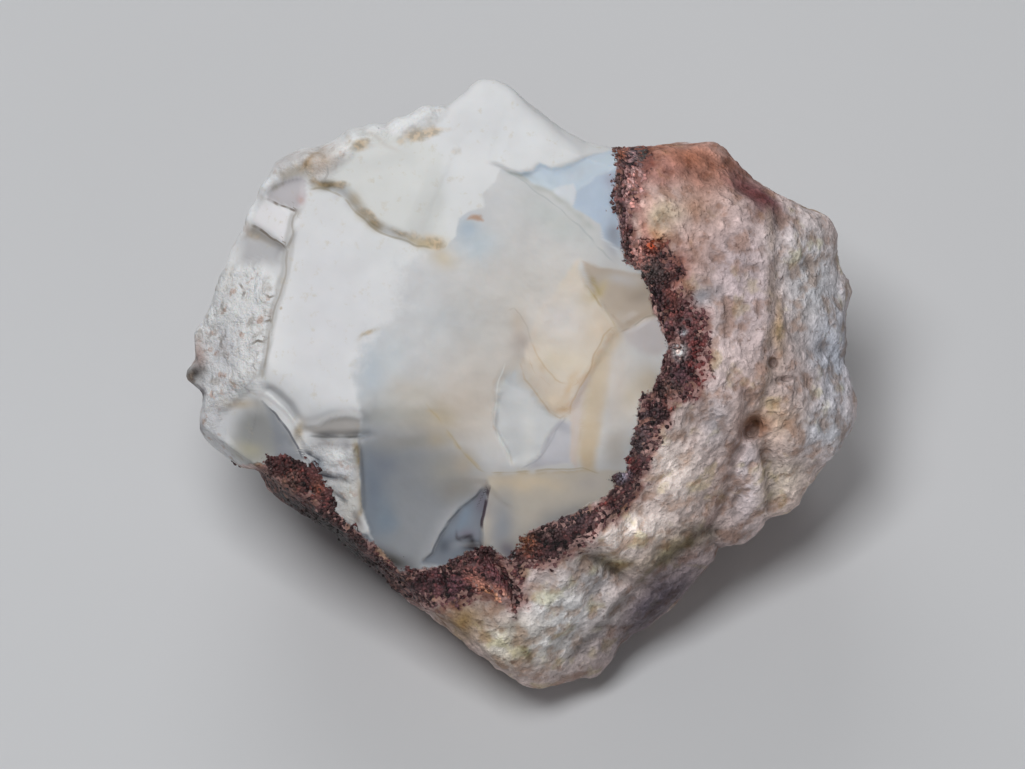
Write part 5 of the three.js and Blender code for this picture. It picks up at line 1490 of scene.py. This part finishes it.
class StoneMaterial(PatternedMaterial):
    """Opal, granular rim and host rock in one material, told apart by the values of the mesh."""

    def __init__(self):
        super().__init__("opal_and_rock")
        self.hollow = self.attribute("hollow")
        self.chalk = self.attribute("chalk")
        self.rim_depth = self.attribute("rim")
        self.fine = self.pattern("fine")
        self.medium = self.pattern("medium")
        self.broad = self.pattern("broad")
        self.clouds = self.step(self.broad, 0.25, 0.75, 0.96, 1.03)
        self.grit = self.pattern("grit")
        self.mottle_and_lump_light = self.pattern("mottle_and_lump_light")
        self.crumbs = self.pattern("crumbs")
        self.lit_crumb_tops = self.step(self.pattern("lit_crumb_tops"), 0.46, 0.7)
        self.granules = self.cells(GRANULE_SIZE)
        self.granule_value, self.granule_hue = self.cell_values(GRANULE_SIZE)
        self.find_zones()
        self.paint()
        self.finish_surface()
        self.raise_relief()

    def find_zones(self):
        """Shares of opal, of its white part and of the rim, with ragged borders."""
        ragged = self.add(self.attribute("opal"), self.centred(self.fine, 0.6))
        self.opal_share = self.step(ragged, -0.1, 0.1)
        milky = self.add(self.attribute("white"), self.centred(self.medium, 4.0))
        self.white_share = self.step(milky, -1.0, 1.0)
        jagged = self.add(self.rim_depth, self.centred(self.fine, 1.1), self.centred(self.medium, 1.4),
                          self.centred(self.granule_value, 0.25))
        hazy = self.add(self.rim_depth, self.centred(self.medium, 2.2),
                        self.centred(self.granule_value, 1.3))
        rim_on_opal = self.step(jagged, -0.06, 0.06)
        rim_on_rock = self.step(hazy, -0.15, 0.25)
        sockets = {"Factor": self.opal_share, 2: rim_on_rock, 3: rim_on_opal}
        self.rim_share = self.node("ShaderNodeMix", sockets).outputs[0]
        not_rim = self.less(1.0, self.rim_share)
        self.bare_opal = self.times(self.opal_share, not_rim)
        self.bare_clear = self.times(self.bare_opal, self.less(1.0, self.white_share))
        self.bare_rock = self.times(self.less(1.0, self.opal_share), not_rim)

    def white(self):
        """White opal, with dirt and stains, with rust and the painted shade of small dents on its chalky
        parts, and painted shade in hollows.
        """
        white = self.scaled(self.attribute("white_colour", "Color"), self.clouds)
        white = self.blend(white, "#b3a78c", self.step(self.pattern("dirt"), 0.56, 0.72, high=0.3))
        # Greyer spots on the chalky parts: painted shade in small dents
        pit_shade = self.times(self.chalk, self.step(self.pattern("pit_shade"), 0.54, 0.66, high=0.65))
        white = self.tinted(white, "#b0a8a0", pit_shade)
        rust = self.times(self.chalk, self.step(self.pattern("rust"), 0.58, 0.7, high=0.7))
        white = self.tinted(white, "#bb957f", rust)
        spotty = self.add(self.attribute("stain"), self.centred(self.medium, 1.1))
        stain = self.blend("#8a7653", "#bda27a", self.step(self.fine, 0.4, 0.6))
        white = self.blend(white, stain, self.step(spotty, 0.3, 0.85, high=0.65))
        # Darker in hollows: painted shade
        return self.scaled(white, self.step(self.hollow, 0.0, 0.12, 1.0, 0.8))

    def clear(self):
        """Clear opal, slightly cloudy."""
        clear = self.scaled(self.attribute("clear_colour", "Color"), self.clouds)
        return self.scaled(clear, self.step(self.medium, 0.3, 0.7, 0.98, 1.02))

    def opal(self):
        """White and clear opal, with rare specks and thin lines."""
        opal = self.blend(self.clear(), self.white(), self.white_share)
        speck = self.step(self.cells(SPECK_SPACING), *SPECK_RADIUS)
        rare = self.math("GREATER_THAN", self.cell_values(SPECK_SPACING)[0], 0.72)
        opal = self.blend(opal, "#3b342c", self.times(speck, rare, 0.8))
        from_line = self.math("ABSOLUTE", self.attribute("line"), 0.0)
        line = self.times(self.attribute("line_share"), self.step(from_line, 1.6, 0.6))
        return self.blend(opal, self.attribute("line_colour", "Color"), line)

    def rock(self):
        """Host rock: softly mottled and tan between its lumps, with painted highlights on the lumps and
        crumbs, painted shade between the lumps and in hollows, and dark pores.
        """
        warmth = self.pattern("warmth")
        rock = self.attribute("rock_colour", "Color")
        rock = self.tinted(rock, "#ffe0cc", self.step(warmth, 0.46, 0.32))
        rock = self.tinted(rock, "#f6e6ee", self.step(warmth, 0.52, 0.66))
        # Tan between the lumps and lighter on them, from the same pattern as the bump: partly the rock's
        # own mottling, partly painted light and shade
        rock = self.tinted(rock, "#e2d0c4", self.step(self.mottle_and_lump_light, 0.52, 0.36))
        rock = self.scaled(rock, self.step(self.mottle_and_lump_light, 0.34, 0.68, 1.02, 1.66))
        rock = self.scaled(rock, self.step(self.broad, 0.3, 0.7, 0.9, 1.1))
        near_rim = self.add(self.rim_depth, self.centred(self.medium, 2.0))
        rock = self.tinted(rock, "#bfa6a4", self.step(near_rim, -0.8, -0.1))
        # Lighter where the crumbs and their tops rise, as in the bump: painted highlights
        rock = self.scaled(rock, self.step(self.crumbs, 0.3, 0.7, 0.88, 1.12))
        rock = self.scaled(rock, self.step(self.lit_crumb_tops, 0.0, 1.0, 0.97, 1.18))
        rock = self.tinted(rock, "#98857c", self.step(self.pattern("pores"), 0.4, 0.3, high=0.6))
        # Lighter on rises and darker in hollows: painted light and shade
        rock = self.scaled(rock, self.step(self.hollow, -0.06, 0.12, 1.1, 0.7))
        return self.scaled(rock, self.step(self.grit, 0.3, 0.7, 0.94, 1.06))

    def rim(self):
        """Rim: granules from near black to brick red, each with painted shading, light in its middle and
        dark at its edge.
        """
        rim = self.attribute("rim_colour", "Color")
        rim = self.scaled(rim, self.step(self.granule_value, 0.0, 1.0, 0.7, 1.5))
        bright = self.tinted(self.scaled(rim, 1.5), "#f2c8c0")
        rim = self.blend(rim, bright, self.step(self.granule_hue, 0.7, 0.9, high=0.8))
        rim = self.tinted(rim, "#66545c", self.step(self.granule_hue, 0.3, 0.1))
        # Lighter in the middle of each granule and darker at its edges: painted shading of round granules
        rim = self.scaled(rim, self.step(self.granules, 0.2, 0.6, 1.15, 0.75))
        return self.tinted(rim, "#7c676b", self.step(self.pattern("dark_rim"), 0.52, 0.62))

    def paint(self):
        colour = self.blend(self.rock(), self.opal(), self.opal_share)
        self.put(self.shader.inputs["Base Color"], self.blend(colour, self.rim(), self.rim_share))

    def finish_surface(self):
        """Duller rock and rim, and opal that light goes into."""
        matt = self.step(self.bare_opal, 0.0, 1.0, ROCK_ROUGHNESS, OPAL_ROUGHNESS)
        matt = self.less(matt, self.times(self.bare_clear, CLEAR_SMOOTHER),
                         self.times(self.rim_share, RIM_SMOOTHER))
        self.put(self.shader.inputs["Roughness"], matt)
        glow = self.add(self.times(self.bare_opal, WHITE_GLOW),
                        self.times(self.bare_clear, CLEAR_EXTRA_GLOW))
        self.put(self.shader.inputs["Subsurface Weight"], glow)
        self.shader.inputs["Subsurface Radius"].default_value = GLOW_REACH
        self.shader.inputs["Subsurface Scale"].default_value = MM
        self.shader.inputs["IOR"].default_value = STONE_IOR

    def raise_relief(self):
        """Fine height of rock, rim and opal, as a bump."""
        rock = self.add(self.times(self.mottle_and_lump_light, MOTTLE_HEIGHT), self.times(self.crumbs, CRUMB_HEIGHT),
                        self.times(self.lit_crumb_tops, CRUMB_TOP_HEIGHT), self.times(self.grit, GRIT_HEIGHT))
        rim = self.step(self.granules, 0.1, 0.7, RIM_GRANULE_HEIGHT, 0.0)
        chalk = self.times(self.pattern("chalk_relief"), self.chalk, CHALK_HEIGHT)
        opal = self.add(chalk, self.times(self.pattern("opal_waves"), OPAL_WAVE_HEIGHT))
        height = self.add(self.times(self.bare_rock, rock), self.times(self.rim_share, rim),
                          self.times(self.bare_opal, opal))
        bump = self.node("ShaderNodeBump", {"Height": height, "Strength": 1.0, "Distance": MM})
        self.put(self.shader.inputs["Normal"], bump.outputs[0])


def grain_material():
    m = PatternedMaterial("dark_granules")
    light = m.step(m.pattern("grain_colour"), 0.3, 0.7, 0.75, 1.25)
    m.put(m.shader.inputs["Base Color"], m.scaled(m.attribute("grain_colour", "Color"), light))
    m.shader.inputs["Roughness"].default_value = GRAIN_ROUGHNESS
    sockets = {"Height": m.pattern("grain_relief"), "Strength": GRAIN_RELIEF_STRENGTH,
               "Distance": GRAIN_HEIGHT * MM}
    m.put(m.shader.inputs["Normal"], m.node("ShaderNodeBump", sockets).outputs[0])
    return m.material


def make_stone():
    """The stone as one fine mesh, with its points, their directions and their values."""
    corners, triangles = sphere(EDGE_CUTS)
    directions = corners + (0, 0, FACE_CROWDING)
    directions /= np.linalg.norm(directions, axis=1)[:, None]
    points = surface_points(directions)
    world = points @ FACE_AXES + MIDDLE
    values = {"place": points, **markings(points)}
    stone = make_mesh("opal_stone", world, triangles, values)
    normals = np.zeros(len(world) * 3, np.float32)
    stone.data.vertices.foreach_get("normal", normals)
    normals = normals.reshape(-1, 3).astype(float)
    add_values(stone.data, {"hollow": concavity(world, normals, triangles)})
    stone.data.materials.append(StoneMaterial().material)
    return stone, world, normals, values


def grain_likelihood(world, values):
    """How likely a granule is at each point: on the rim, most along its border with the opal."""
    inside = smoothstep(*GRAIN_RIM_STARTS, values["rim"])
    band = np.exp(-((values["opal"] - GRAIN_BAND) / GRAIN_BAND_WIDTH) ** 2)
    clumps = smoothstep(*CLUMP_STARTS, noise(values["place"], *CLUMP_PATTERN))
    above_rest = smoothstep(*GRAIN_HEIGHTS, world[:, 2])
    dark = 1 - smoothstep(*LIGHT_RIM_STARTS, values["rim_colour"].mean(axis=1))
    on_rim = inside * (GRAINS_OFF_BAND + band) * (GRAINS_OFF_CLUMPS + clumps)
    return on_rim * (GRAINS_ON_LIGHT_RIM + dark) * above_rest


def make_grains(world, normals, values):
    """Small dark granules, each a squashed ball sunk into the rim."""
    likely = grain_likelihood(world, values)
    chosen = random.choice(len(world), GRAIN_COUNT, replace=False, p=likely / likely.sum())
    ball, sides = sphere(GRAIN_CUTS)
    points, triangles, colours = [], [], []
    for k, i in enumerate(chosen):
        radius = random.uniform(*GRAIN_RADII)
        turn, _ = np.linalg.qr(random.normal(size=(3, 3)))
        shape = ball * random.uniform(*GRAIN_SQUASH, 3) @ turn * radius
        sideways = random.normal(size=3) * GRAIN_SCATTER
        sideways -= normals[i] * (sideways @ normals[i])
        points.append(world[i] + sideways + shape + normals[i] * radius * GRAIN_SHOWS)
        triangles.append(sides + k * len(ball))
        shade = np.clip(values["rim_colour"][i] * random.uniform(*GRAIN_SHADE), 0, 1)
        colours.append(np.tile(shade, (len(ball), 1)))
    points = np.vstack(points)
    inner = {"place": (points - MIDDLE) @ FACE_AXES.T, "grain_colour": np.vstack(colours)}
    grains = make_mesh("rim_grains", points, np.vstack(triangles), inner)
    grains.data.materials.append(grain_material())
    return grains


# Camera: square to the face, at the photograph's framing
PIXELS_PER_MM = 15.0
IMAGE_SIZE = (1025, 769)
MIDDLE_PIXEL = (523.0, 380.0)
CAMERA_DISTANCE = 1.0
PICTURE_PLANE = 5.0
SENSOR_WIDTH = 36.0


def make_camera():
    width = IMAGE_SIZE[0] / PIXELS_PER_MM * MM
    data = bpy.data.cameras.new("camera")
    data.sensor_width = SENSOR_WIDTH
    data.lens = SENSOR_WIDTH * (CAMERA_DISTANCE - PICTURE_PLANE * MM) / width
    camera = bpy.data.objects.new("camera", data)
    across = (IMAGE_SIZE[0] / 2 - MIDDLE_PIXEL[0]) / PIXELS_PER_MM
    up = (MIDDLE_PIXEL[1] - IMAGE_SIZE[1] / 2) / PIXELS_PER_MM
    aim = (MIDDLE + across * ACROSS_FACE + up * UP_FACE) * MM
    camera.location = aim + OUT_OF_FACE * CAMERA_DISTANCE
    camera.rotation_euler = (math.pi / 2 - FACE_TILT, 0, 0)
    bpy.context.scene.collection.objects.link(camera)
    bpy.context.scene.camera = camera


# Lights: name, place, size and power. The main one is above and slightly in front of the stone.
LIGHTS = [
    ("window", (-0.08, -0.08, 0.48), 0.17, 1.35),
    ("back", (-0.1, 0.4, 0.28), 0.3, 0.6),
    ("fill", (0.25, -0.35, 0.3), 0.3, 0.15),
]
SKY_COLOUR = (0.95, 0.97, 1.0, 1)
SKY_STRENGTH = 0.125


def make_lights():
    for name, place, size, power in LIGHTS:
        data = bpy.data.lights.new(name, "AREA")
        data.size = size
        data.energy = power
        light = bpy.data.objects.new(name, data)
        light.location = place
        light.rotation_euler = (Vector(MIDDLE * MM) - Vector(place)).to_track_quat("-Z", "Y").to_euler()
        bpy.context.scene.collection.objects.link(light)
    world = bpy.data.worlds.new("sky")
    world.use_nodes = True
    world.node_tree.nodes["Background"].inputs["Color"].default_value = SKY_COLOUR
    world.node_tree.nodes["Background"].inputs["Strength"].default_value = SKY_STRENGTH
    bpy.context.scene.world = world
    bpy.context.scene.view_settings.view_transform = "Standard"


FLOOR_SIZE = 2.0
FLOOR_COLOUR = "#bcbdbf"
FLOOR_ROUGHNESS = 0.9


def make_floor():
    bpy.ops.mesh.primitive_plane_add(size=FLOOR_SIZE)
    floor = bpy.context.object
    floor.name = "floor"
    m = Material("floor")
    m.put(m.shader.inputs["Base Color"], FLOOR_COLOUR)
    m.shader.inputs["Roughness"].default_value = FLOOR_ROUGHNESS
    floor.data.materials.append(m.material)


make_camera()
make_lights()
make_floor()
stone, world, normals, values = make_stone()
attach(stone, "root")
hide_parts("rough_opal")
grains = make_grains(world, normals, values)
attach(grains, "root")

bpy.context.view_layer.update()
